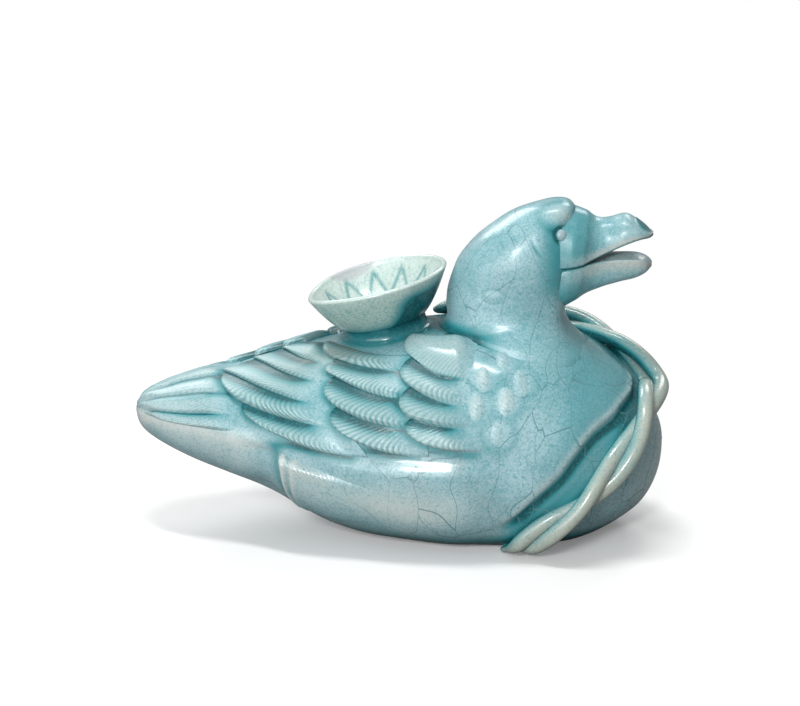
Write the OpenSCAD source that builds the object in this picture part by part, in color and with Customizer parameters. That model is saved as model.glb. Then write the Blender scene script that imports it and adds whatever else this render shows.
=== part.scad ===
// Duck shaped water vessel, built from the clay pieces that a potter lutes together.
// The head looks along +X, the duck's left side is +Y, and the base stands on Z = 0.

/* [Body] */
// Length from the tail tip to the breast
body_length = 176.5; // [140:0.5:210]
// Width across both sides, without the feathers
body_width = 86; // [66:1:106]
// Height of the back under the neck
back_height = 71; // [60:1:84]
// Height of the widest line of the body, where the two shells meet
seam_height = 30; // [26:0.5:36]
// Height of the tail tip
tail_height = 39; // [35:0.5:48]
// Depth of the round belly below the seam, before the base is cut flat
belly_depth = 35; // [31:0.5:40]
// Thickness of the clay wall
wall = 4.5; // [3.5:0.1:5.5]

/* [Neck and head] */
// Middle of the neck, forward of the middle of the body
neck_forward = 36.6; // [34:0.2:39]
// Length of the neck along the body
neck_length = 41.5; // [38:0.5:45]
// Width of the head
head_width = 33; // [28:0.5:38]
// Height of the crown
crown_height = 112.4; // [105:0.2:122]
// Diameter of the hole from the body into the neck
neck_hole_d = 20; // [14:0.5:24]
// Height of the brow over the eye
brow_rise = 1.4; // [0.5:0.1:2.5]
// Diameter of the eye pellet
eye_d = 4; // [3:0.1:5]
// Depth of the eye socket
eye_socket = 0.8; // [0.5:0.1:1.2]

/* [Bill] */
// Length of the bill from its root to the tip
bill_length = 26; // [22:0.5:31]
// Width of the bill at its root
bill_width = 17; // [14:0.5:20]
// Height of the upper bill at its root
bill_height = 17; // [14:0.5:18]
// Height of the mouth corner
mouth_height = 91.2; // [90:0.1:92.4]
// Diameter of the spout hole at the back of the mouth
spout_d = 5; // [3:0.2:6]

/* [Cup] */
// Middle of the cup's foot, behind the middle of the body
cup_back = 4.2; // [2:0.2:6]
// Diameter of the rim
cup_rim_d = 48.5; // [43:0.5:54]
// Height of the cup from its foot to the rim
cup_height = 19.8; // [17:0.2:24]
// Diameter of the foot
cup_foot_d = 27; // [23:0.5:30]
// Lean of the cup towards the tail
cup_lean = 13; // [6:0.5:18]
// Thickness of the rim
cup_lip = 1.8; // [1.2:0.1:2.6]
// Diameter of the filling hole
filling_d = 13; // [9:0.5:14]
// Depth of the flat seat cut for the cup into the back
cup_seat = 3; // [2.4:0.1:3.2]

/* [Feathers] */
// Thickness of a feather along its crest
feather_rise = 2.4; // [2:0.1:3]
// Thickness of the hidden front end of a tier
tongue = 0.7; // [0.5:0.05:0.8]
// Height that the free tips of a tier stand over the tier behind
tip_lift = 1; // [0.9:0.05:1.2]
// Length of the round tip of a feather
tip_length = 4; // [2:0.1:5]
// Bend of a wing's feather row up to its tip, 1 for a straight row
row_bend = 2.6; // [1:0.1:3]
// Length of a small oval feather
scale_length = 7; // [5:0.1:8]
// Width of a small oval feather
scale_width = 9; // [7:0.1:10]
// Rise of its round back
scale_rise = 1.6; // [1:0.1:2.4]
// Height of the rolled edge of the flank fold
fold_rise = 3.2; // [2:0.1:4.5]
// Height of the apron's edge beside the twisted stem
apron_rise = 1.7; // [0.8:0.1:2.4]

/* [Twisted stem] */
// Diameter of one strand
strand_d = 5; // [4:0.1:6]
// Length of a full turn of the twist
twist_pitch = 66; // [52:1:80]
// Place along the stem where the first strand lies on top
twist_start = 12; // [0:1:30]
// Height of the twisted stem's middle over the body
stem_height = 3.6; // [3:0.1:4.2]

/* [Joints] */
// Layer of slip between two luted pieces
slip = 0.1; // [0.05:0.05:0.2]
// Play of a pellet or a foot in its seat
play = 0.3; // [0.2:0.05:0.5]

/* [Hidden] */
GLAZE = [0.49, 0.71, 0.74];
PALE = [0.78, 0.82, 0.78];
DEEP = [0.30, 0.58, 0.60];
back_rise = back_height - seam_height;
half_width = body_width / 2;
tail_x = -body_length / 2;
seat_z = back_height;
head_rise = crown_height - seat_z;
bill_root = neck_forward + neck_length / 2;
bill_slope = 0.12;
floor_z = 1.1 * wall;
cavity_start = 2.6;
cavity_end = 13.2;
strand_r = strand_d / 2;
base_gap = 3 * slip;
brow_r = 0.113 * head_width;
eye_t = 6.8;
eye_v = -52;

// Body sections: place along the length, lift of the seam to the tail, half width, rise, drop,
// squareness
BODY = [
    [0.000, 1.00, 0.000, 0.000, 0.000, 1.15],
    [0.009, 1.00, 0.175, 0.080, 0.180, 1.15],
    [0.043, 1.00, 0.315, 0.141, 0.326, 1.15],
    [0.100, 0.90, 0.455, 0.263, 0.446, 1.12],
    [0.180, 0.72, 0.593, 0.415, 0.540, 1.08],
    [0.271, 0.44, 0.744, 0.610, 0.629, 1.00],
    [0.385, 0.17, 0.884, 0.805, 0.850, 0.95],
    [0.499, 0.06, 0.965, 0.927, 0.943, 0.92],
    [0.613, 0.00, 1.000, 1.000, 1.000, 0.92],
    [0.727, 0.00, 0.965, 1.000, 1.000, 0.92],
    [0.823, 0.00, 0.860, 0.902, 0.945, 0.92],
    [0.897, 0.06, 0.686, 0.695, 0.820, 0.95],
    [0.954, 0.11, 0.465, 0.415, 0.655, 1.00],
    [0.989, 0.11, 0.221, 0.195, 0.335, 1.00],
    [1.000, 0.11, 0.000, 0.000, 0.000, 1.00]];
body_last = len(BODY) - 1;

// Head sections: height over the back, shift forward, half length, half width, squareness
HEAD = [
    [-0.02, 0.00, 1.07, 1.17, 1.00],
    [0.046, 0.00, 1.00, 1.06, 1.00],
    [0.139, 0.01, 1.02, 1.01, 1.00],
    [0.255, 0.03, 1.02, 1.00, 1.00],
    [0.394, 0.10, 1.01, 0.99, 0.97],
    [0.532, 0.17, 0.97, 0.96, 0.95],
    [0.671, 0.285, 0.86, 0.88, 0.95],
    [0.787, 0.42, 0.715, 0.78, 0.95],
    [0.891, 0.60, 0.56, 0.63, 0.97],
    [0.968, 0.77, 0.35, 0.42, 1.00],
    [1.000, 0.81, 0.00, 0.00, 1.00]];
head_last = len(HEAD) - 1;

// Upper bill: place along the bill, edge over the mouth corner, ridge over it, half width
UPPER = [
    [0.00, 0.00, 1.00, 1.00],
    [0.11, 0.07, 0.96, 0.96],
    [0.26, 0.165, 0.885, 0.90],
    [0.43, 0.295, 0.90, 0.91],
    [0.63, 0.45, 0.965, 0.97],
    [0.815, 0.545, 0.81, 0.89],
    [0.945, 0.555, 0.645, 0.58],
    [1.00, 0.56, 0.61, 0.14]];

// Lower bill: place along the bill, edge over the mouth corner, keel below it, half width
LOWER = [
    [0.00, -0.018, -0.80, 1.00],
    [0.11, 0.03, -0.69, 0.93],
    [0.33, 0.05, -0.52, 0.84],
    [0.555, 0.075, -0.40, 0.84],
    [0.78, 0.10, -0.30, 0.77],
    [0.907, 0.07, -0.20, 0.56],
    [0.99, 0.01, -0.07, 0.14]];

// Feather rows of a wing from the lowest edge up: front place, front angle, rear place, rear angle.
// Places are in hundredths of the body's length, counted from its middle
FLIGHT = [[-4.1, 5, -22, 15], [-9, 21.5, -28, 36], [-10, 34, -32.8, 77],
    [-11, 48.5, -27, 84], [-11.5, 62, -21.2, 86], [-11.5, 82, -17, 88]];
COVERTS = [[6.7, 6.5, -8, 16], [6.1, 19.5, -10.3, 32], [5.6, 34, -11, 51],
    [4.4, 50, -10.5, 62], [3.3, 62, -12.5, 84]];
SHOULDER = [[17, 9, 6, 13], [14.5, 20.5, 3.4, 25], [13.7, 31, 3.2, 41],
    [13.7, 43.5, 3.2, 58], [13.1, 62, 4.2, 74]];

// Small oval feathers before the shoulder: place and angle of the middle
SCALES = [[16.4, 45], [16.2, 29.5], [20.6, 33], [19.2, 17.5], [19.8, 55], [23.2, 43]];

// Tail rows from the right edge over the back to the left edge
TAIL = [[-29.1, 8, -43.9, 4], [-29.1, 28, -45, 20], [-29.1, 47, -45.6, 50], [-29.1, 68, -46, 78],
    [-29.1, 112, -46, 102], [-29.1, 133, -45.6, 130], [-29.1, 152, -45, 160], [-29.1, 172, -43.9, 176]];

// Apron over the breast: place and angle of its edge beside the stem, then of the line where it fades out
APRON = [[42.4, 96, 41.2, 94], [42.9, 62, 37.2, 58], [40.7, 35, 34.5, 37], [39, 23, 32.3, 26],
    [36.7, 15, 30.5, 20], [32.5, 1, 26.5, 10], [27.9, -11, 22, 1], [23.4, -21, 18.5, -9],
    [17.9, -33, 17.2, -30]];

// Path of the twisted stem over the body, from the base round the breast to the cup
STEM = [[19.9, -50], [27.4, -30], [35.3, -11], [41.6, 9], [44.7, 42], [45.3, 90], [43.9, 110],
    [39.9, 121], [34.2, 127], [27.4, 131], [20.5, 130], [14.8, 121], [9.7, 115], [6.3, 112]];

function ease(a) = let (c = max(0, min(1, a))) c * c * (3 - 2 * c);
function mix(a, b, f) = a + (b - a) * f;
function signed_power(a, p) = sign(a) * pow(abs(a), p);
function unit(a) = a / norm(a);
function curve(a, b, c, d, f) = (2 * b + (c - a) * f + (2 * a - 5 * b + 4 * c - d) * f * f
    + (3 * b - a - 3 * c + d) * f * f * f) / 2;
function through(rows, t) = let (n = len(rows) - 1, i = min(floor(t), n - 1))
    curve(i == 0 ? 2 * rows[0] - rows[1] : rows[i - 1], rows[i], rows[i + 1],
        i + 2 > n ? 2 * rows[n] - rows[n - 1] : rows[i + 2], t - i);

// Section of the body at a station, with both ends drawn in round
function closed_end(r) = [r[0], r[1], -r[2], -r[3], -r[4], r[5]];
function body_row(i) = i < 0 ? closed_end(BODY[1])
    : i > body_last ? closed_end(BODY[body_last - 1]) : BODY[i];
function section(t) = let (i = min(floor(t), body_last - 1),
    r = curve(body_row(i - 1), body_row(i), body_row(i + 1), body_row(i + 2), t - i))
    [tail_x + body_length * r[0], mix(seam_height, tail_height, r[1]), half_width * r[2],
        back_rise * r[3], belly_depth * r[4], r[5]];
function on_section(s, v) = [s[0], -s[2] * signed_power(cos(v), s[5]),
    s[1] + (sin(v) > 0 ? s[3] : s[4]) * signed_power(sin(v), s[5])];
function body_point(t, v) = on_section(section(t), v);
function body_normal(t, v) = unit(cross(body_point(t + 0.02, v) - body_point(t - 0.02, v),
    body_point(t, v + 0.5) - body_point(t, v - 0.5)));
function over_body(t, v, h) = body_point(t, v) + h * body_normal(t, v);

// Station at a place along the length, found by halving
function station(x, low = 0, high = body_last, n = 16) = n == 0 ? (low + high) / 2 :
    let (m = (low + high) / 2)
    section(m)[0] < x ? station(x, m, high, n - 1) : station(x, low, m, n - 1);
function along(a) = body_length * a / 100;
function back_z(x, y) = let (s = section(station(x)), c = pow(min(1, abs(y) / s[2]), 1 / s[5]))
    s[1] + s[3] * pow(sqrt(1 - c * c), s[5]);

// Wall between the outer and the inner body surface, ended round inside
function cavity_point(f, v) = let (s = section(mix(cavity_start, cavity_end, f)),
    r = sqrt(1 - pow(abs(2 * f - 1), 8)),
    p = on_section([s[0], s[1], (s[2] - wall) * r, (s[3] - wall) * r, (s[4] - wall) * r, s[5]], v))
    [p[0], p[1], max(p[2], floor_z)];

// Closed solid between two sheets of points; a sheet may run to a single point at either end
module between(outer, inner, start_point = false, end_point = false) {
    n = len(outer) - 1;
    m = len(outer[0]) - 1;
    k = (n + 1) * (m + 1);
    points = concat([for (r = outer) each r], [for (r = inner) each r]);
    at = function (i, j) (start_point && i == 0) || (end_point && i == n) ? i * (m + 1) : i * (m + 1) + j;
    quads = concat(
        [for (i = [0:n - 1], j = [0:m - 1]) [at(i, j), at(i, j + 1), at(i + 1, j + 1), at(i + 1, j)]],
        [for (i = [0:n - 1], j = [0:m - 1])
            [k + at(i, j), k + at(i + 1, j), k + at(i + 1, j + 1), k + at(i, j + 1)]],
        [for (i = [0:n - 1]) [at(i, 0), at(i + 1, 0), k + at(i + 1, 0), k + at(i, 0)]],
        [for (i = [0:n - 1]) [at(i, m), k + at(i, m), k + at(i + 1, m), at(i + 1, m)]],
        start_point ? [] : [for (j = [0:m - 1]) [at(0, j), k + at(0, j), k + at(0, j + 1), at(0, j + 1)]],
        end_point ? [] : [for (j = [0:m - 1]) [at(n, j), at(n, j + 1), k + at(n, j + 1), k + at(n, j)]]);
    triangles = [for (q = quads) each [[q[0], q[1], q[2]], [q[0], q[2], q[3]]]];
    polyhedron(points, [for (f = triangles) if (f[0] != f[1] && f[1] != f[2] && f[2] != f[0]) f]);
}

// Closed tube through rings of points, ended flat
module tube(rings) {
    n = len(rings) - 1;
    m = len(rings[0]);
    polyhedron([for (r = rings) each r], concat(
        [for (i = [0:n - 1], j = [0:m - 1], h = [0, 1]) let (a = i * m + j, b = i * m + (j + 1) % m)
            h == 0 ? [a, b, b + m] : [a, b + m, a + m]],
        [[for (j = [m - 1:-1:0]) j], [for (j = [0:m - 1]) n * m + j]]));
}

module body_half(from, to) {
    rings = 36;
    steps = 12;
    between(
        [for (i = [0:rings]) [for (j = [0:steps])
            body_point(body_last * i / rings, mix(from, to, j / steps))]],
        [for (i = [0:rings]) [for (j = [0:steps]) cavity_point(i / rings, mix(from, to, j / steps))]],
        true, true);
}

module lower_body_shell() {
    color(DEEP) difference() {
        body_half(-180, 0);
        translate([-body_length, -body_width, -belly_depth])
            cube([2 * body_length, 2 * body_width, belly_depth]);
    }
}

module at_cup() {
    translate([-cup_back, 0, back_z(-cup_back, 0)]) rotate([0, -cup_lean, 0]) translate([0, 0, -cup_seat])
        children();
}

module upper_body_shell() {
    color(GLAZE) difference() {
        body_half(0, 180);
        at_cup() cylinder(h = cup_height, d = cup_foot_d + 2 * play, $fn = 64);
        at_cup() translate([0, 0, -2 * wall]) cylinder(h = 3 * wall, d = filling_d, $fn = 48);
        translate([neck_forward, 0, seat_z - 3 * wall]) cylinder(h = 4 * wall, d = neck_hole_d, $fn = 64);
    }
}

// Front face of the head, which the bill is luted to
function bill_face(z) = bill_root + bill_slope * (z - mouth_height);
function head_row(i) = i < 0 ? 2 * HEAD[0] - HEAD[1] : i <= head_last ? HEAD[i]
    : let (r = HEAD[head_last - 1]) [r[0], r[1], -r[2], -r[3], r[4]];
function head_section(t) = let (i = min(floor(t), head_last - 1))
    curve(head_row(i - 1), head_row(i), head_row(i + 1), head_row(i + 2), t - i);
function brow(p) = let (
    d = [p[0] - bill_root, abs(p[1]), p[2] - crown_height] / brow_r + [0.96, -2.14, 1.12])
    brow_rise * exp(-(d * d));
function head_point(t, v, less) = let (r = head_section(t),
    a = neck_length / 2 * r[2] - less,
    b = head_width / 2 * r[3] - less,
    x = neck_forward + neck_length / 2 * r[1] + a * signed_power(cos(v), r[4]),
    y = b * signed_power(sin(v), r[4]),
    z = seat_z + head_rise * r[0] - less * ease((t - 6) / 3),
    p = [x, y, z],
    q = less > 0 ? p : p + brow(p) * unit([x - neck_forward - 0.29 * neck_length, 2 * y, brow_r]))
    t == 0 ? [x, y, back_z(x, y) + slip] : [min(q[0], bill_face(q[2]) - less), q[1], q[2]];
function head_normal(t, v) = unit(cross(head_point(t, v + 1, 0) - head_point(t, v - 1, 0),
    head_point(t + 0.05, v, 0) - head_point(t - 0.05, v, 0)));

// Bell of clay between two stacks of rings, closed at the top and open below
module bell(outer, inner, top, inner_top) {
    n = len(outer) - 1;
    m = len(outer[0]);
    k = (n + 1) * m + 1;
    polyhedron(concat([for (r = outer) each r], [top], [for (r = inner) each r], [inner_top]), concat(
        [for (i = [0:n - 1], j = [0:m - 1]) let (a = i * m + j, b = i * m + (j + 1) % m)
            each [[a, b + m, b], [a, a + m, b + m]]],
        [for (j = [0:m - 1]) [n * m + j, k - 1, n * m + (j + 1) % m]],
        [for (i = [0:n - 1], j = [0:m - 1]) let (a = k + i * m + j, b = k + i * m + (j + 1) % m)
            each [[a, b, b + m], [a, b + m, a + m]]],
        [for (j = [0:m - 1]) [k + n * m + j, k + n * m + (j + 1) % m, 2 * k - 1]],
        [for (j = [0:m - 1]) let (a = j, b = (j + 1) % m) each [[a, b, k + b], [a, k + b, k + a]]]));
}

module at_eye() {
    p = head_point(eye_t, eye_v, 0);
    n = head_normal(eye_t, eye_v);
    translate(p) rotate([0, acos(n[2]), atan2(n[1], n[0])]) children();
}

module neck_and_head() {
    rings = 17;
    steps = 24;
    outer = [for (i = [0:rings]) [for (j = [0:steps - 1])
        head_point(9.6 * i / rings, 360 * j / steps, 0)]];
    inner = [for (i = [0:rings]) [for (j = [0:steps - 1])
        head_point(8.6 * i / rings, 360 * j / steps, wall)]];
    crown = [neck_forward + 0.81 * neck_length / 2, 0, crown_height];
    color(GLAZE) difference() {
        bell(outer, inner, crown, crown - [0.67 * wall, 0, wall]);
        translate([bill_root - 2 * wall, 0, mouth_height - 0.3 * spout_d]) rotate([0, 75, 0])
            cylinder(h = 4 * wall, d = spout_d, $fn = 32);
        at_eye() translate([0, 0, -eye_socket]) cylinder(h = 2 * eye_d, d = eye_d + 2 * play, $fn = 32);
        mirror([0, 1, 0]) at_eye() translate([0, 0, -eye_socket])
            cylinder(h = 2 * eye_d, d = eye_d + 2 * play, $fn = 32);
    }
}

// Pellet with a round top
module eye() {
    color(PALE) at_eye() translate([0, 0, -eye_socket + slip]) rotate_extrude($fn = 32) polygon(concat(
        [[0, 0], [eye_d / 2, 0]],
        [for (a = [0:15:90]) [eye_d / 2 * cos(a), eye_socket + 0.3 * eye_d * sin(a)]]));
}

module right_eye() {
    eye();
}

module left_eye() {
    mirror([0, 1, 0]) eye();
}

// Ring of the bill, slanted at the root like the face that it is luted to
function bill_place(r, z) = bill_root + slip + bill_length * r[0]
    + bill_slope * (z - mouth_height) * (1 - r[0]);
function bill_edge(rows, t, side, c) = let (r = through(rows, t), hollow = 0.06 + 0.18 * (1 - r[0]),
    y = bill_width / 2 * r[3] * c,
    z = mouth_height + bill_height * (r[1] + side * hollow * (1 - c * c) * min(1, 4 * r[3])))
    [bill_place(r, z), y, z];
function bill_back(rows, t, side, c) = let (r = through(rows, t), rim = side * 0.05,
    y = bill_width / 2 * r[3] * c,
    z = mouth_height + bill_height * (r[1] + rim + (r[2] - r[1] - rim) * pow(1 - c * c, 0.4)))
    [bill_place(r, z), y, z];
function across(j, steps) = -cos(180 * j / steps);

module bill(rows, side) {
    rings = 12;
    steps = 10;
    last = len(rows) - 1;
    color(GLAZE) between(
        [for (i = [0:rings]) [for (j = [0:steps])
            bill_back(rows, last * i / rings, side, side * across(j, steps))]],
        [for (i = [0:rings]) [for (j = [0:steps])
            bill_edge(rows, last * i / rings, side, side * across(j, steps))]]);
}

module upper_bill() {
    bill(UPPER, 1);
}

module lower_bill() {
    bill(LOWER, -1);
}

// Thrown cup with a flat foot, a flared wall and a round floor
module filling_cup() {
    foot_r = cup_foot_d / 2;
    rim_r = cup_rim_d / 2;
    hole_r = filling_d / 2;
    bowl_h = cup_seat + 0.6 * wall;
    floor_h = cup_seat + wall;
    color(PALE) at_cup() rotate_extrude($fn = 96) polygon(concat(
        [[hole_r, slip], [foot_r, slip]],
        [for (f = [0:0.1:1]) [mix(foot_r, rim_r, f), mix(bowl_h, cup_height, pow(f, 1.35))]],
        [[rim_r - cup_lip / 2, cup_height + cup_lip / 5]],
        [for (f = [1:-0.1:-0.01])
            [mix(hole_r, rim_r - cup_lip, f), mix(floor_h, cup_height, pow(max(0, f), 2.2))]]));
}

// Path of the twisted stem and the frame that it lies in
function stem_place(f) = let (p = through(STEM, f * (len(STEM) - 1)))
    [station(along(p[0])), p[1]];
function stem_point(f) = let (p = stem_place(f)) body_point(p[0], p[1]);
function stem_normal(f) = let (p = stem_place(f)) body_normal(p[0], p[1]);
function stem_steps(n) = [for (i = [0:n]) stem_point(i / n)];
function lengths(p, i = 0, sum = 0, out = []) = i >= len(p) ? out :
    let (s = i == 0 ? 0 : sum + norm(p[i] - p[i - 1])) lengths(p, i + 1, s, concat(out, [s]));

module stem_strand(phase) {
    n = 72;
    m = 8;
    path = stem_steps(n);
    run = lengths(path);
    end_length = 2.4 * strand_d;
    color(PALE) tube([for (i = [0:n]) let (
        f = i / n,
        up = stem_normal(f),
        ahead = unit(path[min(n, i + 1)] - path[max(0, i - 1)]),
        aside = cross(up, ahead),
        turn = phase + 360 * (run[i] - twist_start) / twist_pitch,
        taper = mix(0.5, 1, ease(run[i] / end_length)) * mix(0.5, 1, ease((run[n] - run[i]) / end_length)))
        [for (j = [0:m - 1]) let (
            h = taper * (stem_height + (strand_r + slip) * cos(turn) + strand_r * cos(360 * j / m)),
            s = taper * ((strand_r + slip) * sin(turn) + strand_r * sin(360 * j / m)),
            p = path[i] + max(slip, h) * up + s * aside)
            [p[0], p[1], max(p[2], base_gap)]]]);
}

module stem_strand_one() {
    stem_strand(0);
}

module stem_strand_two() {
    stem_strand(180);
}

// Feather rows between bent lines on the body; the tips of a row are round and stand free
function tier_place(rows, s, r, bend) = let (
    i = min(floor(r), len(rows) - 2),
    f = r - i,
    a = mix(rows[i], rows[i + 1], f))
    [station(along(mix(a[0], a[2], s)) - s * tip_length * pow(sin(180 * f), 0.7)),
        mix(a[1], a[3], pow(s, bend))];

// A row is thick along its lower edge and thins out up to the row above, which covers it; past the
// middle row the order is turned round
function crest(f) = f < 0.25 ? ease(4 * f) : 1 - pow((f - 0.25) / 0.75, 1.2);
function row_share(r, middle) = let (i = floor(r), f = r - i)
    i < middle ? f : i > middle ? 1 - f : 0.75 * (1 - abs(2 * f - 1));
function tier_top(s, r, middle) = tongue + (feather_rise - tongue) * ease((s - 0.3) / 0.4)
    * (0.36 + 0.64 * crest(row_share(r, middle)));

module tier(rows, lift, bend, middle) {
    rings = 8;
    steps = 4 * (len(rows) - 1);
    row_at = function (j) (steps - j) / 4;
    place = function (i, j) tier_place(rows, i / rings, row_at(j), bend);
    between(
        [for (i = [0:rings]) [for (j = [0:steps]) let (p = place(i, j))
            over_body(p[0], p[1], tier_top(i / rings, row_at(j), middle))]],
        [for (i = [0:rings]) [for (j = [0:steps]) let (p = place(i, j))
            over_body(p[0], p[1], slip + lift * ease((i / rings - 0.45) / 0.2))]]);
}

module wing_tier(rows) {
    tier(rows, tip_lift, row_bend, len(rows));
}

module tail_feathers() {
    color(DEEP) tier(TAIL, 0, 1, len(TAIL) / 2 - 1);
}

module right_flight_feathers() {
    color(GLAZE) wing_tier(FLIGHT);
}

module left_flight_feathers() {
    color(GLAZE) mirror([0, 1, 0]) wing_tier(FLIGHT);
}

module right_wing_coverts() {
    color(GLAZE) wing_tier(COVERTS);
}

module left_wing_coverts() {
    color(GLAZE) mirror([0, 1, 0]) wing_tier(COVERTS);
}

module right_shoulder_feathers() {
    color(GLAZE) wing_tier(SHOULDER);
}

// The twisted stem passes the left shoulder, so its highest row is left out
module left_shoulder_feathers() {
    color(GLAZE) mirror([0, 1, 0]) wing_tier([for (i = [0:len(SHOULDER) - 2]) SHOULDER[i]]);
}

// Oval feather with a round back, laid on the body
module scale_feather(x, v) {
    steps = 4;
    t = station(along(x));
    p = body_point(t, v);
    up = body_normal(t, v);
    ahead = unit(body_point(t + 0.05, v) - body_point(t - 0.05, v));
    aside = cross(up, ahead);
    grid = [for (i = [0:steps]) [for (j = [0:steps]) let (a = 2 * i / steps - 1, b = 2 * j / steps - 1)
        [a * sqrt(1 - b * b / 2), b * sqrt(1 - a * a / 2)]]];
    place = function (g, h) p + scale_length / 2 * g[0] * ahead + scale_width / 2 * g[1] * aside + h * up;
    between(
        [for (r = grid) [for (g = r) place(g, tongue + scale_rise * sqrt(max(0, 1 - g * g)))]],
        [for (r = grid) [for (g = r) place(g, slip)]]);
}

module right_shoulder_scales() {
    color(PALE) for (s = SCALES) scale_feather(s[0], s[1]);
}

module left_shoulder_scales() {
    color(PALE) mirror([0, 1, 0]) for (s = SCALES) if (s[1] < 40) scale_feather(s[0], s[1]);
}

// Flank feathers that end in a raised, rolled edge below the wing
module flank_fold() {
    rings = 10;
    steps = 12;
    place = function (s, r) [station(along(mix(1.1, -21 - 0.6 * sin(180 * r) + 6 * pow(r, 5), s))),
        mix(mix(-9, 2, s), mix(-24, -62, pow(s, 0.75)), r)];
    rise = function (s, r) fold_rise * (0.13 + (pow(s, 1.5) + 0.16 * exp(-pow((s - 0.9) / 0.08, 2)))
        * pow(max(0, sin(180 * min(1, r + 0.12))), 0.6));
    between(
        [for (i = [0:rings]) [for (j = [0:steps]) let (p = place(i / rings, j / steps))
            over_body(p[0], p[1], rise(i / rings, j / steps))]],
        [for (i = [0:rings]) [for (j = [0:steps]) let (p = place(i / rings, j / steps))
            over_body(p[0], p[1], slip)]]);
}

module right_flank_fold() {
    color(DEEP) flank_fold();
}

module left_flank_fold() {
    color(DEEP) mirror([0, 1, 0]) flank_fold();
}

// Feathered apron over the breast, highest along its edge beside the twisted stem
module apron_edge() {
    rings = 32;
    steps = 6;
    place = function (i, s) let (a = through(APRON, (len(APRON) - 1) * i / rings))
        [station(along(mix(a[0], a[2], s))), mix(a[1], a[3], s)];
    rise = function (s) s < 0.17 ? mix(0.3, 1, ease(s / 0.17)) : mix(0.2, 1, pow(1 - (s - 0.17) / 0.83, 1.3));
    color(GLAZE) between(
        [for (i = [0:rings]) [for (j = [0:steps]) let (p = place(i, 1 - j / steps))
            over_body(p[0], p[1], slip + apron_rise * rise(1 - j / steps))]],
        [for (i = [0:rings]) [for (j = [0:steps]) let (p = place(i, 1 - j / steps))
            over_body(p[0], p[1], slip)]]);
}

lower_body_shell();
upper_body_shell();
neck_and_head();
upper_bill();
lower_bill();
right_eye();
left_eye();
filling_cup();
stem_strand_one();
stem_strand_two();
tail_feathers();
right_flight_feathers();
left_flight_feathers();
right_wing_coverts();
left_wing_coverts();
right_shoulder_feathers();
left_shoulder_feathers();
right_shoulder_scales();
left_shoulder_scales();
right_flank_fold();
left_flank_fold();
apron_edge();
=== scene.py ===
"""Celadon water vessel in the shape of a swimming duck: its glazed clay pieces, the studio and the camera."""

import bmesh
import bpy
import numpy as np
from mathutils import Matrix, Vector


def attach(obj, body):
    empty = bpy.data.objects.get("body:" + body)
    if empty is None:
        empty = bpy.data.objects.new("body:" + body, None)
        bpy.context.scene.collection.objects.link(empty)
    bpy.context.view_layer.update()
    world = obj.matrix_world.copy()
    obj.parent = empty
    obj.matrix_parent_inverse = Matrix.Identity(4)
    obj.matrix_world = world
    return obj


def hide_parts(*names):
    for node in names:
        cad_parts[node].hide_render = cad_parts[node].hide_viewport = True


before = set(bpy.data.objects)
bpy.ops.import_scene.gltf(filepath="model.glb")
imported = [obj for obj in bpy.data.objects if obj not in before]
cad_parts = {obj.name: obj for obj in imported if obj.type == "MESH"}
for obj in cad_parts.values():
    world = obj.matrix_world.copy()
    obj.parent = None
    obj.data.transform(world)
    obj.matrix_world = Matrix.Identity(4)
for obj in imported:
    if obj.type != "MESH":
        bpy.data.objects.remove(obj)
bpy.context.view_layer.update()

# The clay form is worked out in millimetres and made in metres.
MM = 0.001

# Body
BODY_LENGTH = 176.5
HALF_WIDTH = 43.0
BACK_HEIGHT = 71.0
SEAM_HEIGHT = 30.0
TAIL_HEIGHT = 39.0
BELLY_DEPTH = 35.0
WALL = 4.5

# Neck and head
NECK_FORWARD = 36.6
NECK_LENGTH = 41.5
HEAD_WIDTH = 33.0
CROWN_HEIGHT = 112.4
NECK_HOLE = 20.0
BILL_LENGTH = 26.0
BILL_WIDTH = 17.0
BILL_HEIGHT = 17.0
MOUTH_HEIGHT = 91.2
SPOUT = 5.0
SPOUT_LEAN = 75.0
EYE = 4.0
EYE_T, EYE_V = 6.8, -56
BILL_ROOT = NECK_FORWARD + NECK_LENGTH / 2
BILL_SLOPE = 0.12
HEAD_RISE = CROWN_HEIGHT - BACK_HEIGHT

# Cup
CUP_BACK = 4.2
CUP_RIM = 48.5
CUP_HEIGHT = 19.8
CUP_FOOT = 27.0
CUP_LEAN = 13.0
CUP_LIP = 1.8
CUP_SEAT = 3.0
CUP_DROOP = 1.6
PETALS = 13
MEND_TURN = 116
FILLING_HOLE = 13.0

# Feathers and twisted stem
FEATHER_RISE = 2.2
TONGUE = 0.7
TIP_LIFT = 0.4
TIP_LENGTH = 4.0
ROW_BEND = 2.6
FRONT_LOBE = 3.5
SCALE_LENGTH = 7.2
SCALE_WIDTH = 11.0
SCALE_RISE = 0.55
FOLD_RISE = 2.8
FOLD_TOP = 2
FOLD_BOTTOM = -62
APRON_RISE = 1.7
STRAND = 5.0
TWIST_PITCH = 65.0
TWIST_START = 26.5
STEM_HEIGHT = 4.4
COMB_STEP = 1.2
COMB_DEPTH = 0.12
COMB_SLANT = 46.0
COMB_FAN = 8.0
TAIL_COMB_STEP = 1.05
TAIL_COMB_SLANT = 26.0
TUCK = 0.3

# Fineness of the meshes: fine points for each hidden one below, and angles round the larger rings
FINE = 6
RING = 216

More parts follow.
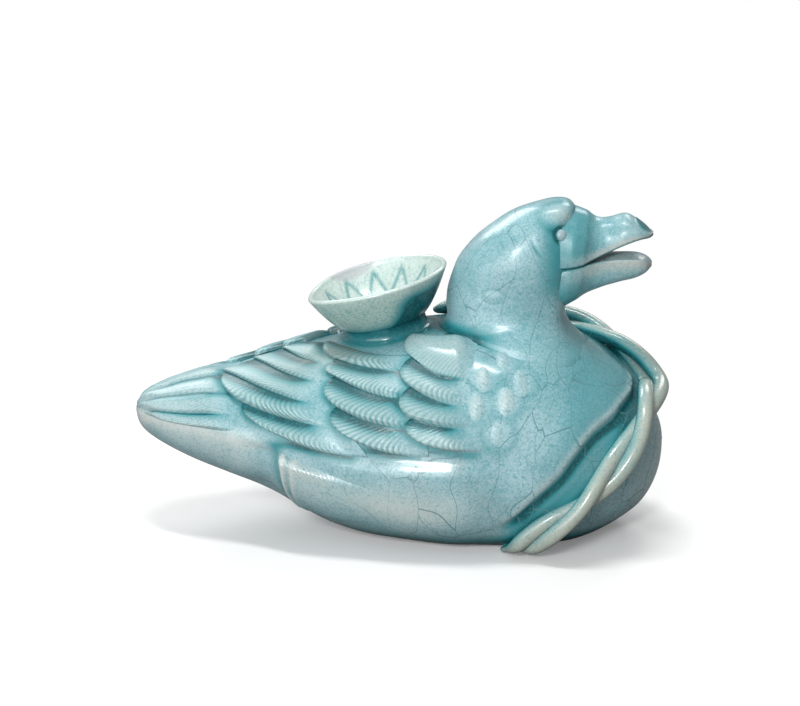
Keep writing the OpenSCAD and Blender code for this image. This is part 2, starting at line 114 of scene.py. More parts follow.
# Body sections: place along the length, lift of the seam to the tail, half width, rise, drop, squareness
BODY = np.array([[0, 1, 0, 0, 0, 1.15], [0.009, 1, 0.175, 0.08, 0.18, 1.15],
                 [0.043, 1, 0.315, 0.141, 0.326, 1.15], [0.1, 0.9, 0.455, 0.263, 0.446, 1.12],
                 [0.18, 0.72, 0.593, 0.415, 0.54, 1.08], [0.271, 0.44, 0.744, 0.61, 0.629, 1],
                 [0.385, 0.17, 0.884, 0.805, 0.85, 0.95], [0.499, 0.06, 0.965, 0.927, 0.943, 0.92],
                 [0.613, 0, 1, 1, 1, 0.92], [0.727, 0, 0.965, 1, 1, 0.92],
                 [0.823, 0, 0.86, 0.902, 0.945, 0.92], [0.897, 0.06, 0.686, 0.695, 0.82, 0.95],
                 [0.954, 0.11, 0.465, 0.415, 0.655, 1], [0.989, 0.11, 0.221, 0.195, 0.335, 1],
                 [1, 0.11, 0, 0, 0, 1]])

# Head sections: height over the back, shift forward, half length, half width, squareness
HEAD = np.array([[-0.02, 0, 1.07, 1.17, 1], [0.046, 0, 1, 1.06, 1], [0.139, 0.01, 1.02, 1.01, 1],
                 [0.255, 0.03, 1.02, 1, 1], [0.394, 0.1, 1.01, 0.99, 0.97], [0.532, 0.17, 0.97, 0.96, 0.95],
                 [0.671, 0.285, 0.86, 0.88, 0.95], [0.787, 0.42, 0.715, 0.78, 0.95],
                 [0.891, 0.6, 0.56, 0.63, 0.97], [0.968, 0.77, 0.35, 0.42, 1], [1, 0.81, 0, 0, 1]])

# Bills: place along the bill, edge over the mouth corner, ridge or keel over it, half width
UPPER = np.array([[0, 0, 1.12, 1], [0.11, 0.07, 0.985, 0.96], [0.26, 0.165, 0.885, 0.9],
                  [0.43, 0.295, 0.9, 0.91], [0.63, 0.45, 0.965, 0.97], [0.815, 0.545, 0.81, 0.89],
                  [0.945, 0.555, 0.645, 0.58], [1, 0.56, 0.61, 0.14]])
LOWER = np.array([[0, -0.018, -0.95, 1], [0.11, 0.05, -0.7, 0.9], [0.33, 0.1, -0.52, 0.78],
                  [0.555, 0.125, -0.4, 0.74], [0.78, 0.13, -0.3, 0.68], [0.907, 0.09, -0.2, 0.5],
                  [0.99, 0.01, -0.07, 0.14]])

# Feather rows from the lowest edge up: front place, front angle, rear place, rear angle.
# Places are in hundredths of the body's length, counted from its middle
FLIGHT = np.array([[-4.1, 5, -22, 15], [-9, 21.5, -28, 36], [-10, 34, -32.8, 77],
                   [-11, 48.5, -27, 84], [-11.5, 62, -21.2, 86], [-11.5, 82, -17, 88]])
COVERTS = np.array([[6.7, 6.5, -8, 16], [6.1, 19.5, -10.3, 32], [5.6, 34, -11, 51],
                    [4.4, 50, -10.5, 62], [3.3, 62, -12.5, 84]])
SHOULDER = np.array([[17, 9, 6, 13], [14.5, 20.5, 3.4, 25], [13.7, 31, 3.2, 41],
                     [13.7, 43.5, 3.2, 58], [13.1, 75, 4.4, 78]])
TAIL = np.array([[-29.1, 8, -46, 4], [-29.1, 28, -47.4, 20], [-29.1, 47, -48, 50], [-29.1, 68, -48.3, 78]])
# The left half of the tail mirrors the right one
TAIL = np.vstack([TAIL, TAIL[::-1] * [1, -1, 1, -1] + [0, 180, 0, 180]])
# Small oval feathers: place, angle, strength
SCALES = np.array([[16.4, 45, 1.0], [15.2, 30.5, 0.9], [20.6, 33, 1.0], [19.2, 17.5, 0.4], [19.8, 55, 0.5],
                   [23.2, 43, 0.55]])
# Apron over the breast: place and angle of its edge beside the stem, then of the line where it fades out
APRON = np.array([[42.4, 96, 41.2, 94], [42.9, 62, 37.2, 58], [40.7, 35, 34.5, 37], [39, 23, 32.3, 26],
                  [36.7, 15, 30.5, 20], [32.5, 1, 26.5, 10], [27.9, -11, 22, 1], [23.4, -21, 18.5, -9],
                  [17.9, -33, 17.2, -30]])
# Twisted stem: place and angle of its path, from the right flank round the breast to the back
STEM = np.array([[19.9, -50], [27.2, -28], [35.2, -10.5], [41.1, 10], [44.2, 42], [46.0, 89], [43.6, 108],
                 [39.9, 118], [34.2, 125], [27.4, 131], [20.5, 130], [14.8, 121], [9.7, 115], [6.3, 112]])


# Plain maths
FLIP = np.array([1, -1, 1])


def clamp(a):
    return np.clip(a, 0, 1)


def ease(a):
    """0 below 0, 1 above 1, with a soft run between them."""
    c = clamp(a)
    return c * c * (3 - 2 * c)


def mix(a, b, f):
    return a + (b - a) * f


def unit(a):
    return a / (norm(a)[..., None] + 1e-12)


def dot(a, b):
    return (a * b).sum(-1)


def bell(distance, reach):
    """1 at no distance, falling off smoothly over the reach."""
    return np.exp(-(distance / reach) ** 2)


def signed_power(a, p):
    return np.sign(a) * np.abs(a) ** p


def cosd(v):
    return np.cos(np.radians(v))


def sind(v):
    return np.sin(np.radians(v))


def quarter(a):
    """Quarter of a circle: steep from 0, and level at 1."""
    return np.sqrt(1 - (1 - clamp(a)) ** 2)


def norm(a):
    return np.linalg.norm(a, axis=-1)


def grid(a, b):
    return np.meshgrid(a, b, indexing="ij")


def ring_angles(sides):
    return np.arange(sides) * 360 / sides


def run_along(points, axis=0):
    """Way gone along one axis of a grid of points, from 0 at its start."""
    steps = norm(np.diff(points, axis=axis))
    return np.concatenate([0 * steps.take([0], axis), np.cumsum(steps, axis)], axis)


def curve(rows, t):
    """Smooth curve through rows[1:-1]; the first and last row only give the direction there."""
    t = np.asarray(t, float)
    i = np.clip(np.floor(t).astype(int), 0, len(rows) - 4)
    f = (t - i)[..., None]
    a, b, c, d = rows[i], rows[i + 1], rows[i + 2], rows[i + 3]
    return (2 * b + (c - a) * f + (2 * a - 5 * b + 4 * c - d) * f**2 + (3 * b - a - 3 * c + d) * f**3) / 2


def through(rows, t):
    return curve(np.vstack([2 * rows[0] - rows[1], rows, 2 * rows[-1] - rows[-2]]), t)


def nearest(points, targets):
    """Least distance of each point to the targets, and the number of that target."""
    flat = points.reshape(-1, 3)
    found = []
    for part in np.array_split(flat, 1 + len(flat) // 1500):
        square = ((part[:, None] - targets) ** 2).sum(-1)
        found.append(np.stack([np.sqrt(square.min(1)), square.argmin(1)], -1))
    found = np.concatenate(found).reshape(*points.shape[:-1], 2)
    return found[..., 0], found[..., 1].astype(int)


def soft_least(a, b, reach):
    """Lesser of two values, rounded off where they meet."""
    h = clamp(0.5 + 0.5 * (b - a) / reach)
    return mix(b, a, h) - reach * h * (1 - h)


def ripple(points, *waves):
    """Slow unevenness of hand work: a sum of slanting waves (length, strength, phase)."""
    total = 0
    for k, (step, strength, phase) in enumerate(waves):
        ways = [sind(70 * k + 20), cosd(50 * k), sind(110 * k + 60)]
        total = total + strength * np.sin(2 * np.pi * dot(points, ways) / step + phase)
    return total


# Body surface: station t from the tail to the breast, angle v from the right side over the back to the left
ENDS_CLOSE = np.array([1, 1, -1, -1, -1, 1])
BODY_ROWS = np.vstack([BODY[1] * ENDS_CLOSE, BODY, BODY[-2] * ENDS_CLOSE])
BODY_LAST = len(BODY) - 1


def section(t):
    r = curve(BODY_ROWS, np.clip(t, 0, BODY_LAST))
    return (BODY_LENGTH * (r[..., 0] - 0.5), mix(SEAM_HEIGHT, TAIL_HEIGHT, r[..., 1]), HALF_WIDTH * r[..., 2],
            (BACK_HEIGHT - SEAM_HEIGHT) * r[..., 3], BELLY_DEPTH * r[..., 4], r[..., 5])


def on_section(x, seam, half, rise, drop, p, v):
    return np.stack([x + 0 * v, -half * signed_power(cosd(v), p),
                     seam + np.where(sind(v) > 0, rise, drop) * signed_power(sind(v), p)], -1)


def body_point(t, v):
    return on_section(*section(t), v)


def body_normal(t, v):
    return unit(np.cross(body_point(t + 0.02, v) - body_point(t - 0.02, v),
                         body_point(t, v + 0.5) - body_point(t, v - 0.5)))


STATIONS = np.linspace(0, BODY_LAST, 4001)
STATION_X = section(STATIONS)[0]


def station(x):
    return np.interp(x, STATION_X, STATIONS)


def along(place):
    return BODY_LENGTH * place / 100


def back_z(x, y):
    _, seam, half, rise, _, p = section(station(x))
    c = np.minimum(1, np.abs(y) / np.maximum(half, 0.01)) ** (1 / p)
    return seam + rise * np.sqrt(1 - c * c) ** p


def body_wave(points):
    return ripple(points, (34, 0.16, 0.5), (21, 0.10, 1.4))


# Path of the twisted stem
stem_xv = through(STEM, np.linspace(0, len(STEM) - 1, 321))
stem_t = station(along(stem_xv[:, 0]))
stem_path = body_point(stem_t, stem_xv[:, 1])
stem_up = body_normal(stem_t, stem_xv[:, 1])
stem_ahead = unit(np.gradient(stem_path, axis=0))
stem_aside = np.cross(stem_up, stem_ahead)
stem_run = run_along(stem_path)

# Edge of the apron over the breast
apron_rows = through(APRON, np.linspace(0, len(APRON) - 1, 161))
apron_line = body_point(station(along(apron_rows[:, 0])), apron_rows[:, 1])
apron_in = unit(body_point(station(along(apron_rows[:, 2])), apron_rows[:, 3]) - apron_line)


# Meshes
def sheet_faces(rows, columns, first=0, wrap=False):
    """Quads of a grid of points that are numbered row by row."""
    i, j = grid(np.arange(rows - 1), np.arange(columns if wrap else columns - 1))
    k = (j + 1) % columns
    quads = np.stack([i * columns + j, i * columns + k, (i + 1) * columns + k, (i + 1) * columns + j], -1)
    return (quads.reshape(-1, 4) + first).tolist()


def tube_faces(rows, sides):
    """Faces of a tube of rings of points, closed by a flat face at each end."""
    last = (rows - 1) * sides
    return [*sheet_faces(rows, sides, wrap=True), list(range(sides)), list(range(last, last + sides))]


def fan_faces(first, sides, tip):
    """Triangles from the points of a ring to a tip."""
    return [[first + j, first + (j + 1) % sides, tip] for j in range(sides)]


def sheet_normals(points):
    """Directions across a sheet of points."""
    return unit(np.cross(np.gradient(points, axis=0), np.gradient(points, axis=1)))


def slab(top, bottom, coarse):
    """Closed solid between a fine sheet and the sheet below it, which keeps every coarse-th point."""
    n, m = top.shape[:2]
    under = bottom[::coarse, ::coarse]
    rows, columns = under.shape[:2]
    first = n * m
    fine = np.arange(n * m).reshape(n, m)
    low = np.arange(rows * columns).reshape(rows, columns) + first
    faces = sheet_faces(n, m) + sheet_faces(rows, columns, first)
    sides = ((fine[0], low[0]), (fine[-1], low[-1]), (fine[:, 0], low[:, 0]), (fine[:, -1], low[:, -1]))
    for upper, lower in sides:
        for k in range(len(lower) - 1):
            faces.append([*upper[k * coarse:(k + 1) * coarse + 1].tolist(), int(lower[k + 1]), int(lower[k])])
    return np.concatenate([top.reshape(-1, 3), under.reshape(-1, 3)]), faces


def join(*solids):
    """Several solids as one list of points and one of faces."""
    points, faces, first = [], [], 0
    for p, f in solids:
        points.append(p)
        faces += [[first + k for k in face] for face in f]
        first += len(p)
    return np.concatenate(points), faces


def filled(values, count):
    """Layer values of the fine sheet, with zeros for the hidden points after it."""
    flat = clamp(values).reshape(-1)
    return np.concatenate([flat, np.zeros(count - len(flat))])


def placed(name, data):
    made = bpy.data.objects.new(name, data)
    bpy.context.collection.objects.link(made)
    return made


def piece(name, form, glaze, mirror=False, nodes=None):
    """Makes one glazed piece from points in millimetres, for the CAD node of its name or for those given."""
    nodes = nodes or [name]
    (points, faces), layers = form
    points = points * (MM * (FLIP if mirror else 1))
    mesh = bpy.data.meshes.new(name)
    mesh.from_pydata(points.tolist(), [], faces)
    for layer, values in layers.items():
        values = filled(values, len(points))
        mesh.attributes.new(layer, "FLOAT", "POINT").data.foreach_set("value", values.astype(np.float32))
    work = bmesh.new()
    work.from_mesh(mesh)
    bmesh.ops.recalc_face_normals(work, faces=work.faces)
    work.to_mesh(mesh)
    work.free()
    mesh.shade_smooth()
    mesh.materials.append(glaze)
    made = placed(name, mesh)
    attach(made, "root")
    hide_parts(*nodes)
    return made


SIDES = (("right", False), ("left", True))


def both_sides(name, form, glaze):
    for side_name, mirror in SIDES:
        piece(f"{side_name}_{name}", form, glaze, mirror)


def bore(made, start, direction, diameter, length):
    """Cuts a round hole through a piece."""
    drill = bmesh.new()
    radius = diameter / 2 * MM
    turn = Vector(direction).normalized().to_track_quat("Z", "Y").to_matrix().to_4x4()
    place = Matrix.Translation(Vector(start) * MM) @ turn @ Matrix.Translation((0, 0, length / 2 * MM))
    bmesh.ops.create_cone(drill, cap_ends=True, segments=48, radius1=radius, radius2=radius, depth=length * MM,
                          matrix=place)
    mesh = bpy.data.meshes.new("drill")
    drill.to_mesh(mesh)
    drill.free()
    tool = placed("drill", mesh)
    cut = made.modifiers.new("bore", "BOOLEAN")
    cut.operation, cut.object, cut.solver = "DIFFERENCE", tool, "EXACT"
    bpy.context.view_layer.update()
    cut_mesh = bpy.data.meshes.new_from_object(made.evaluated_get(bpy.context.evaluated_depsgraph_get()))
    made.modifiers.remove(cut)
    old = made.data
    made.data = cut_mesh
    bpy.data.meshes.remove(old)
    bpy.data.objects.remove(tool)
    bpy.data.meshes.remove(mesh)


# Materials
class Socket:
    """One output of a node; arithmetic on it adds Math nodes."""

    def __init__(self, tree, socket):
        self.tree, self.socket = tree, socket

    def math(self, operation, *inputs):
        return node(self.tree, "Math", {"operation": operation}, dict(enumerate(inputs)))

    def __add__(self, other):
        return self.math("ADD", self, other)

    def __sub__(self, other):
        return self.math("SUBTRACT", self, other)

    def __rsub__(self, other):
        return self.math("SUBTRACT", other, self)

    def __mul__(self, other):
        return self.math("MULTIPLY", self, other)

    __radd__ = __add__
    __rmul__ = __mul__

    def smooth(self, low, high):
        """0 at low, 1 at high, with a soft run between them."""
        return node(self.tree, "MapRange", {"interpolation_type": "SMOOTHSTEP"},
                    {"Value": self, "From Min": low, "From Max": high})

    def to(self, target):
        self.tree.links.new(self.socket, target)


def node(tree, kind, settings=None, inputs=None, output=0):
    """Adds a node of a kind, sets it up, then links or sets its inputs."""
    made = tree.nodes.new("ShaderNode" + kind)
    for key, value in (settings or {}).items():
        setattr(made, key, value)
    for key, value in (inputs or {}).items():
        if isinstance(value, Socket):
            value.to(made.inputs[key])
        else:
            made.inputs[key].default_value = value
    return Socket(tree, made.outputs[output])


def blend(a, b, factor):
    """Colour between two colours."""
    return node(factor.tree, "Mix", {"data_type": "RGBA"}, {0: factor, 6: a, 7: b}, output=2)


def colour(red, green, blue):
    """Screen colour from 0 to 255, as light."""
    part = [c / 255 for c in (red, green, blue)]
    return (*[c / 12.92 if c <= 0.04045 else ((c + 0.055) / 1.055) ** 2.4 for c in part], 1.0)


MID = colour(131, 176, 184)
SOFT = colour(162, 197, 204)
TEAL = colour(48, 138, 145)
DEEP = colour(8, 72, 78)
CREAM = colour(206, 214, 210)
STAIN = colour(156, 168, 170)
CLAY = colour(150, 138, 122)
CRAZE = colour(84, 130, 136)
IRON = colour(58, 52, 40)


def celadon(name, thin=CREAM, body=MID, light=SOFT, clay=CLAY, crackle=1.0, rough=0.2, coat=0.25):
    """Crackled celadon: pale where the glaze runs thin on edges and where sheen is painted, teal where it pools
    in the hollows and where shade is painted.
    """
    material = bpy.data.materials.new(name)
    material.use_nodes = True
    tree = material.node_tree
    shader = tree.nodes["Principled BSDF"]
    place = node(tree, "TexCoord", output="Object")
    # Values that a piece's mesh carries at its points
    pool_and_shade, pale, bare, sleek = [
        node(tree, "Attribute", {"attribute_name": name, "attribute_type": "GEOMETRY"}, output="Fac")
        for name in ("pool_and_shade", "pale", "bare", "sleek")]

    def noise(scale, detail, roughness=0.5, output=0):
        inputs = {"Vector": place, "Scale": scale, "Detail": detail, "Roughness": roughness}
        return node(tree, "TexNoise", {}, inputs, output)

    def vectors(operation, a, b):
        return node(tree, "VectorMath", {"operation": operation}, {0: a, 1: b})

    def cells(feature, vector, scale):
        return node(tree, "TexVoronoi", {"feature": feature}, {"Vector": vector, "Scale": scale})

    clouds = noise(42, 4, 0.6)
    grain = noise(1500, 2, 0.7)
    flecks = noise(620, 4, 0.7)
    warp = vectors("MULTIPLY", noise(30, 1.5, output="Color"), (0.03, 0.03, 0.03))
    bent = vectors("ADD", place, warp)
    wide = cells("DISTANCE_TO_EDGE", vectors("MULTIPLY", bent, (1, 0.7, 0.36)), 92)
    fine = cells("DISTANCE_TO_EDGE", bent, 150)
    front = node(tree, "SeparateXYZ", {}, {"Vector": place}, output="X").smooth(-0.03, 0.02)
    patch = noise(38, 1)
    lines = wide.smooth(0.0135, 0.003) * patch.smooth(0.24, 0.38)
    lines = lines + fine.smooth(0.014, 0.004) * patch.smooth(0.46, 0.58) * 0.6
    lines = lines * (0.1 + front * 0.9) * crackle
    iron = cells("F1", place, 170).smooth(0.05, 0.02) * noise(70, 1).smooth(0.58, 0.66)

    tone = body
    # The pool layer carries pooled glaze and also painted shade; the pale layer carries thin glaze and also
    # painted sheen.
    for over, share in (
            (light, clouds.smooth(0.36, 0.68)),
            (STAIN, noise(26, 3, 0.6).smooth(0.56, 0.74) * 0.5),
            (TEAL, (pool_and_shade * (0.7 + clouds * 0.6)).smooth(0.08, 0.9)),
            (DEEP, pool_and_shade.smooth(0.72, 1.08)),
            (thin, pale * (0.55 + clouds * 0.7)),
            (TEAL, flecks.smooth(0.5, 0.7) * (1 - pale * 0.7) * 0.42),
            (TEAL, grain.smooth(0.52, 0.68) * (1 - pale * 0.6) * 0.55),
            (thin, grain.smooth(0.46, 0.32) * (1 - pool_and_shade).smooth(0.2, 0.9) * 0.32),
            (CRAZE, lines * 0.8),
            (IRON, iron * 0.7),
            (clay, bare)):
        tone = blend(tone, over, share)

    relief = noise(190, 2) * 0.6 + grain * 0.12 - lines * 0.08
    bump = node(tree, "Bump", {}, {"Strength": 0.16, "Distance": 0.0006, "Height": relief})
    tone.to(shader.inputs["Base Color"])
    (rough + clouds * 0.1 + bare * 0.3 - sleek * 0.25).to(shader.inputs["Roughness"])
    bump.to(shader.inputs["Normal"])
    shader.inputs["IOR"].default_value = 1.5
    shader.inputs["Coat Weight"].default_value = coat
    shader.inputs["Coat Roughness"].default_value = 0.1
    return material


celadon_glaze = celadon("celadon_glaze")
feather_glaze = celadon("feather_glaze", crackle=0.1, rough=0.34, coat=0.06)
pale_glaze = celadon("pale_glaze", thin=colour(196, 192, 176), body=colour(122, 166, 168),
                     light=colour(150, 180, 174), crackle=0)
cup_glaze = celadon("cup_glaze", thin=colour(210, 224, 219), body=colour(164, 190, 181),
                    light=colour(180, 202, 192), clay=colour(176, 172, 178), crackle=0.3)
head_glaze = celadon("head_glaze", crackle=0.8, rough=0.25, coat=0.1)
bill_glaze = celadon("bill_glaze", crackle=0.1, rough=0.28, coat=0.1)
eye_glaze = celadon("eye_glaze", thin=colour(160, 182, 186), body=colour(140, 176, 184),
                    crackle=0, rough=0.35, coat=0.05)


# Wing and tail tiers
def tier_place(rows, s, r, bend=ROW_BEND, lobe=0.0):
    """Station and angle of a place s along a tier and r across its rows, share across the row, row's number."""
    i = np.clip(np.floor(r).astype(int), 0, len(rows) - 2)
    f = r - i
    a = mix(rows[i], rows[i + 1], f[..., None])
    rounded = np.maximum(0, sind(180 * f)) ** 0.7
    x = along(mix(a[..., 0], a[..., 2], s)) + ((1 - s) * lobe - s * TIP_LENGTH) * rounded
    return station(x), mix(a[..., 1], a[..., 3], s**bend), f, i


def outline(rows, count=160):
    """Points along the free rear tips and the lower edge of a tier."""
    r = np.linspace(0, len(rows) - 1.001, count)
    tips = body_point(*tier_place(rows, np.ones(count), r)[:2])
    s = np.linspace(0.2, 1, count // 2)
    edge = body_point(*tier_place(rows, s, np.zeros(count // 2))[:2])
    return tips, edge


def combs(run, down, whole):
    """Phase of the comb marks: slanting to the rear, and fanning out over the round tip."""
    slant = np.radians(COMB_SLANT)
    fan = whole - COMB_FAN
    across = (run - fan) * np.sin(slant) - down * np.cos(slant)
    turn = (slant - np.arctan2(down, run - fan)) * 6.5
    return np.where(across > 0, turn, across) / COMB_STEP


def feather_tier(rows, lift, front_fade, over=None, two_sided=False, smooth_top=False, comb=1.0, worn=False):
    """Closed sheet of feather rows, and where its glaze pools, runs thin, is worn off and lies sleek."""
    last = len(rows) - 2
    per_row = 30 if two_sided else 36
    s, r = grid(np.linspace(0, 1, 22 * FINE + 1), np.linspace(0, last + 1, per_row * (last + 1) + 1))
    covered = front_fade > 0 or two_sided
    t, v, f, i = tier_place(rows, s, r, 1.0 if two_sided else ROW_BEND, 0.0 if covered else FRONT_LOBE)
    base, up = body_point(t, v), body_normal(t, v)
    if two_sided:
        middle = last / 2
        f = np.where(i > middle, 1 - f, np.where(i == middle, 0.75 * (1 - np.abs(2 * f - 1)), f))
    run, width = run_along(base), run_along(base, 1)
    row_width = np.stack([width[:, (k + 1) * per_row] - width[:, k * per_row] for k in range(last + 1)], -1)
    down = (1 - f) * np.take_along_axis(row_width, i, 1)
    left = run[-1] - run
    shown = ease((s - front_fade) / (0.35 if covered else 0.6))
    top_row = (i == last) & smooth_top
    shown = np.where(top_row, ease(s / 0.32), shown)
    side = np.minimum(width, width[:, -1:] - width)
    edge = ease(side / 2.0)
    if two_sided:
        phase = (run * sind(TAIL_COMB_SLANT) - down * cosd(TAIL_COMB_SLANT)) / TAIL_COMB_STEP
        crest = ease(f / 0.16) * (1 - 0.5 * ease((f - 0.6) / 0.4))
        tip, end = ease(left / 10), -TUCK
        depth = 0.6 * ease(left / 12)
    else:
        phase = combs(run, down, run[-1])
        crest = ease(f / 0.22) * (1 - clamp((f - 0.22) / 0.78) ** 1.2)
        tip, end = quarter(left / 2.6), lift * shown + 0.2
        depth = comb + 0 * s
    band = ease(f / 0.1) * (1 - ease((f - 0.4) / 0.5)) * shown
    # The smooth top feather is domed, and combed only along its lower edge
    crest = np.where(top_row, 1.5 * ease(f / 0.75) * (1 - ease((f - 0.75) / 0.25)), crest)
    depth = np.where(top_row, 0.55 * (1 - ease((f - 0.36) / 0.2)), depth)
    edge = np.where(top_row & (f > 0.4), ease(side / 6.0), edge)
    band = np.where(top_row, ease(f / 0.08) * (1 - ease((f - 0.55) / 0.4)) * shown, band)
    sleek = np.where(top_row, shown * ease((f - 0.3) / 0.2), 0)
    phase = phase + 0.3 * np.sin(run / 7 + 2 * i) + 0.2 * np.sin(down / 2.1 + i)
    marks = np.cos(2 * np.pi * phase)
    cut = (0.5 - 0.5 * marks) ** 1.6
    barbs = ease(f / 0.07) * (1 - ease((f - 0.82) / 0.14)) * shown * depth
    strong = 1 - 0.6 * ease((f - 0.25) / 0.35)
    hidden = 0.5 if front_fade > 0 else -0.5 * TUCK
    rise = mix(hidden, TONGUE + (FEATHER_RISE - TONGUE) * (0.3 + 0.7 * crest), shown)
    high = mix(end, rise, tip) + COMB_DEPTH * barbs * strong * tip * (1 - 2 * cut)
    high = mix(-TUCK, high, edge) + 0.15 * ripple(base, (17, 0.6, 0.3), (11, 0.4, 1.9)) * shown
    low = np.minimum(high - 0.15, -TUCK + (lift + TUCK) * ease((s - 0.45) / 0.2))
    wave = body_wave(base)
    solid = slab(base + (high + wave)[..., None] * up, base + (low + wave)[..., None] * up, FINE)
    pale = 0.5 * band * (1 - 0.8 * cut * depth) + 0.2 * bell(side - 1.4, 0.9) * shown
    pool_and_shade = (0.12 if two_sided else 0.38) + 0.34 * ease((f - 0.45) / 0.4) * (1 - sleek)
    pool_and_shade = 0.12 + shown * (pool_and_shade + 0.7 * bell(f - 1, 0.13) + 0.5 * bell(f, 0.05))
    pool_and_shade = pool_and_shade + 0.36 * barbs * strong * cut + 0.25 * (1 - tip) * shown * (end > 0)
    if over is not None:
        gap = nearest(base, over)[0]
        pool_and_shade = pool_and_shade + 0.6 * bell(gap, 2.0)
        pale = pale * (1 - 0.8 * bell(gap, 2.2))
    bare = 0.5 * bell((base[..., 0] + 20) / 1.7, 9) * bell(base[..., 1] + 16, 6) * (0.6 + 0.4 * marks)
    return solid, dict(pool_and_shade=pool_and_shade, pale=pale, bare=bare * (base[..., 1] < 0) * worn, sleek=sleek)


flight_tips, flight_edge = outline(FLIGHT)
covert_tips, covert_edge = outline(COVERTS)
shoulder_tips, shoulder_edge = outline(SHOULDER)
tiers = [("flight_feathers", FLIGHT, covert_tips, 0.12), ("wing_coverts", COVERTS, shoulder_tips, 0.12),
         ("shoulder_feathers", SHOULDER, None, 0.0)]
for name, rows, over, fade in tiers:
    for side_name, mirror in SIDES:
        shoulder = name == "shoulder_feathers"
        form = feather_tier(rows[:-1] if mirror and shoulder else rows, TIP_LIFT, fade, over,
                            smooth_top=shoulder and not mirror, comb=0.6 if shoulder else 0.9, worn=not mirror)
        piece(f"{side_name}_{name}", form, feather_glaze, mirror)
both_tips = np.concatenate([flight_tips, flight_tips * FLIP])
piece("tail_feathers", feather_tier(TAIL, 0.0, 0.0, both_tips, two_sided=True), feather_glaze)


# Small oval feathers
def scale_feather(place, v, strength):
    """Low oval dome on a square sheet pressed round, and where its glaze pools and runs thin."""
    steps = np.linspace(-1, 1, 4 * FINE + 1)
    a, b = grid(steps, steps)
    g0, g1 = a * np.sqrt(1 - b * b / 2), b * np.sqrt(1 - a * a / 2)
    t = station(along(place))
    p, up = body_point(t, v), body_normal(t, v)
    ahead = unit(body_point(t + 0.05, v) - body_point(t - 0.05, v))
    aside = np.cross(up, ahead)
    ring = np.sqrt(np.minimum(1, g0**2 + g1**2))
    dome = (1 - ring**2) ** 1.15 * (0.8 - 0.2 * g0)
    marks = np.cos(2 * np.pi * (g1 * 3.2 + 1.6 * g0))
    high = -0.45 + (TONGUE + SCALE_RISE) * dome * mix(0.6, 1, strength) + 0.1 * marks * (1 - ring**2)
    flat = p + SCALE_LENGTH / 2 * g0[..., None] * ahead + SCALE_WIDTH / 2 * g1[..., None] * aside
    solid = slab(flat + high[..., None] * up, flat - up, FINE)
    return solid, 0.25 * bell(1 - ring, 0.2) + 0.15, strength * (dome * (0.7 + 0.3 * marks) - 0.05)


for side_name, mirror in SIDES:
    made = [scale_feather(*row) for row in SCALES if not mirror or row[1] < 40]
    solid = join(*[m[0] for m in made])
    pad = len(made[0][0][0])
    pool_and_shade, pale = [np.concatenate([filled(m[k], pad) for m in made]) for k in (1, 2)]
    form = solid, dict(pool_and_shade=pool_and_shade, pale=pale)
    piece(f"{side_name}_shoulder_scales", form, feather_glaze, mirror)


# Flanks: the body swells below the wings, and ends at the tail in a fold with a rolled rear edge
def flank_line(x):
    """Angle of the groove between the wing and the flank."""
    return mix(6, 6.5, ease((x + 37) / 31))


def flank_swell(x, v):
    reach = ease((x + 34) / 42) * ease((40 - x) / 22)
    return 2.0 * reach * ease((flank_line(x) + 1 - v) / 8) * ease((v + 58) / 34)


# Painted shade: darker towards the bottom, where the underside turns away from the light.
def painted_bottom_shade(z):
    return 0.15 * ease((24 - z) / 24) + ease((9 - z) / 9)


def breast_pool(x):
    return 0.44 * ease((x - 44) / 18)


# Painted sheen: a pale band along the middle of the flank stands in for the reflection of the bright floor in
# front.
def painted_flank_sheen(x, v):
    ends = ease((x + 42) / 20) * ease((36 - x) / 30)
    return 0.85 * bell(v + 18, 12) * (0.3 + 0.7 * ease((x + 26) / 24)) * ends


def fold_rear(top, r):
    """Place of the fold's rear edge at a share r down from its top."""
    return top + 1.4 * r + 4.8 * r**4


def flank_fold():
    s, r = grid(np.linspace(0, 1, 22 * FINE + 1), np.linspace(0, 1, 15 * FINE + 1))
    x = along(mix(1.1, fold_rear(-21.4, r), s))
    v = mix(mix(-9, FOLD_TOP, s), mix(-24, FOLD_BOTTOM, s**0.75), r)
    t = station(x)
    base, up = body_point(t, v), body_normal(t, v)
    run = run_along(base)
    end = (run[-1] - run) / (1.15 - 0.85 * r)
    edge = quarter(end / 2.2)
    rear = ease(s * 1.6) * ease((1 - r) / 0.25)
    rim = (bell(end - 1.7, 0.9) + 0.8 * bell(end - 5.4, 1.2)) * rear
    hem = bell(end - 3.5, 0.9) * rear
    crest = bell((r - 0.13) * 11, 0.9) * ease((s - 0.3) / 0.5) * (1 - rim)
    marks = np.cos(2 * np.pi * (run * 0.8 + 22 * r) / COMB_STEP)
    combed = ease((0.24 - r) / 0.1) * ease((r - 0.03) / 0.05) * ease((s - 0.35) / 0.35) * ease((end - 4) / 3)
    high = FOLD_RISE * s**2.2 * (1 - r) ** 0.8 + 0.35 * rim - 0.5 * hem + 0.25 * crest + 0.16 * combed * marks
    high = mix(-TUCK, high, edge * ease(r / 0.12) * ease((1 - r) / 0.2)) - TUCK * (1 - ease(s * 5))
    high = high + flank_swell(x, v) + body_wave(base)
    solid = slab(base + high[..., None] * up, base - 1.2 * up, FINE)
    # The pool layer here also takes the painted shade towards the bottom.
    pool_and_shade = 0.4 * hem + 0.4 * (1 - edge) * rear + 0.12 + painted_bottom_shade(base[..., 2])
    pool_and_shade = pool_and_shade + 0.35 * combed * (0.5 - 0.5 * marks) + 0.4 * (1 - ease(r / 0.07)) * rear
    pale = 0.7 * rim + 0.6 * crest * (0.7 + 0.3 * marks)
    # The pale layer here also takes the painted sheen along the flank.
    pale = pale + 0.2 * ease((s - 0.4) / 0.5) * ease((0.8 - r) / 0.5) + painted_flank_sheen(x, v)
    return solid, dict(pool_and_shade=pool_and_shade, pale=pale)


both_sides("flank_fold", flank_fold(), celadon_glaze)


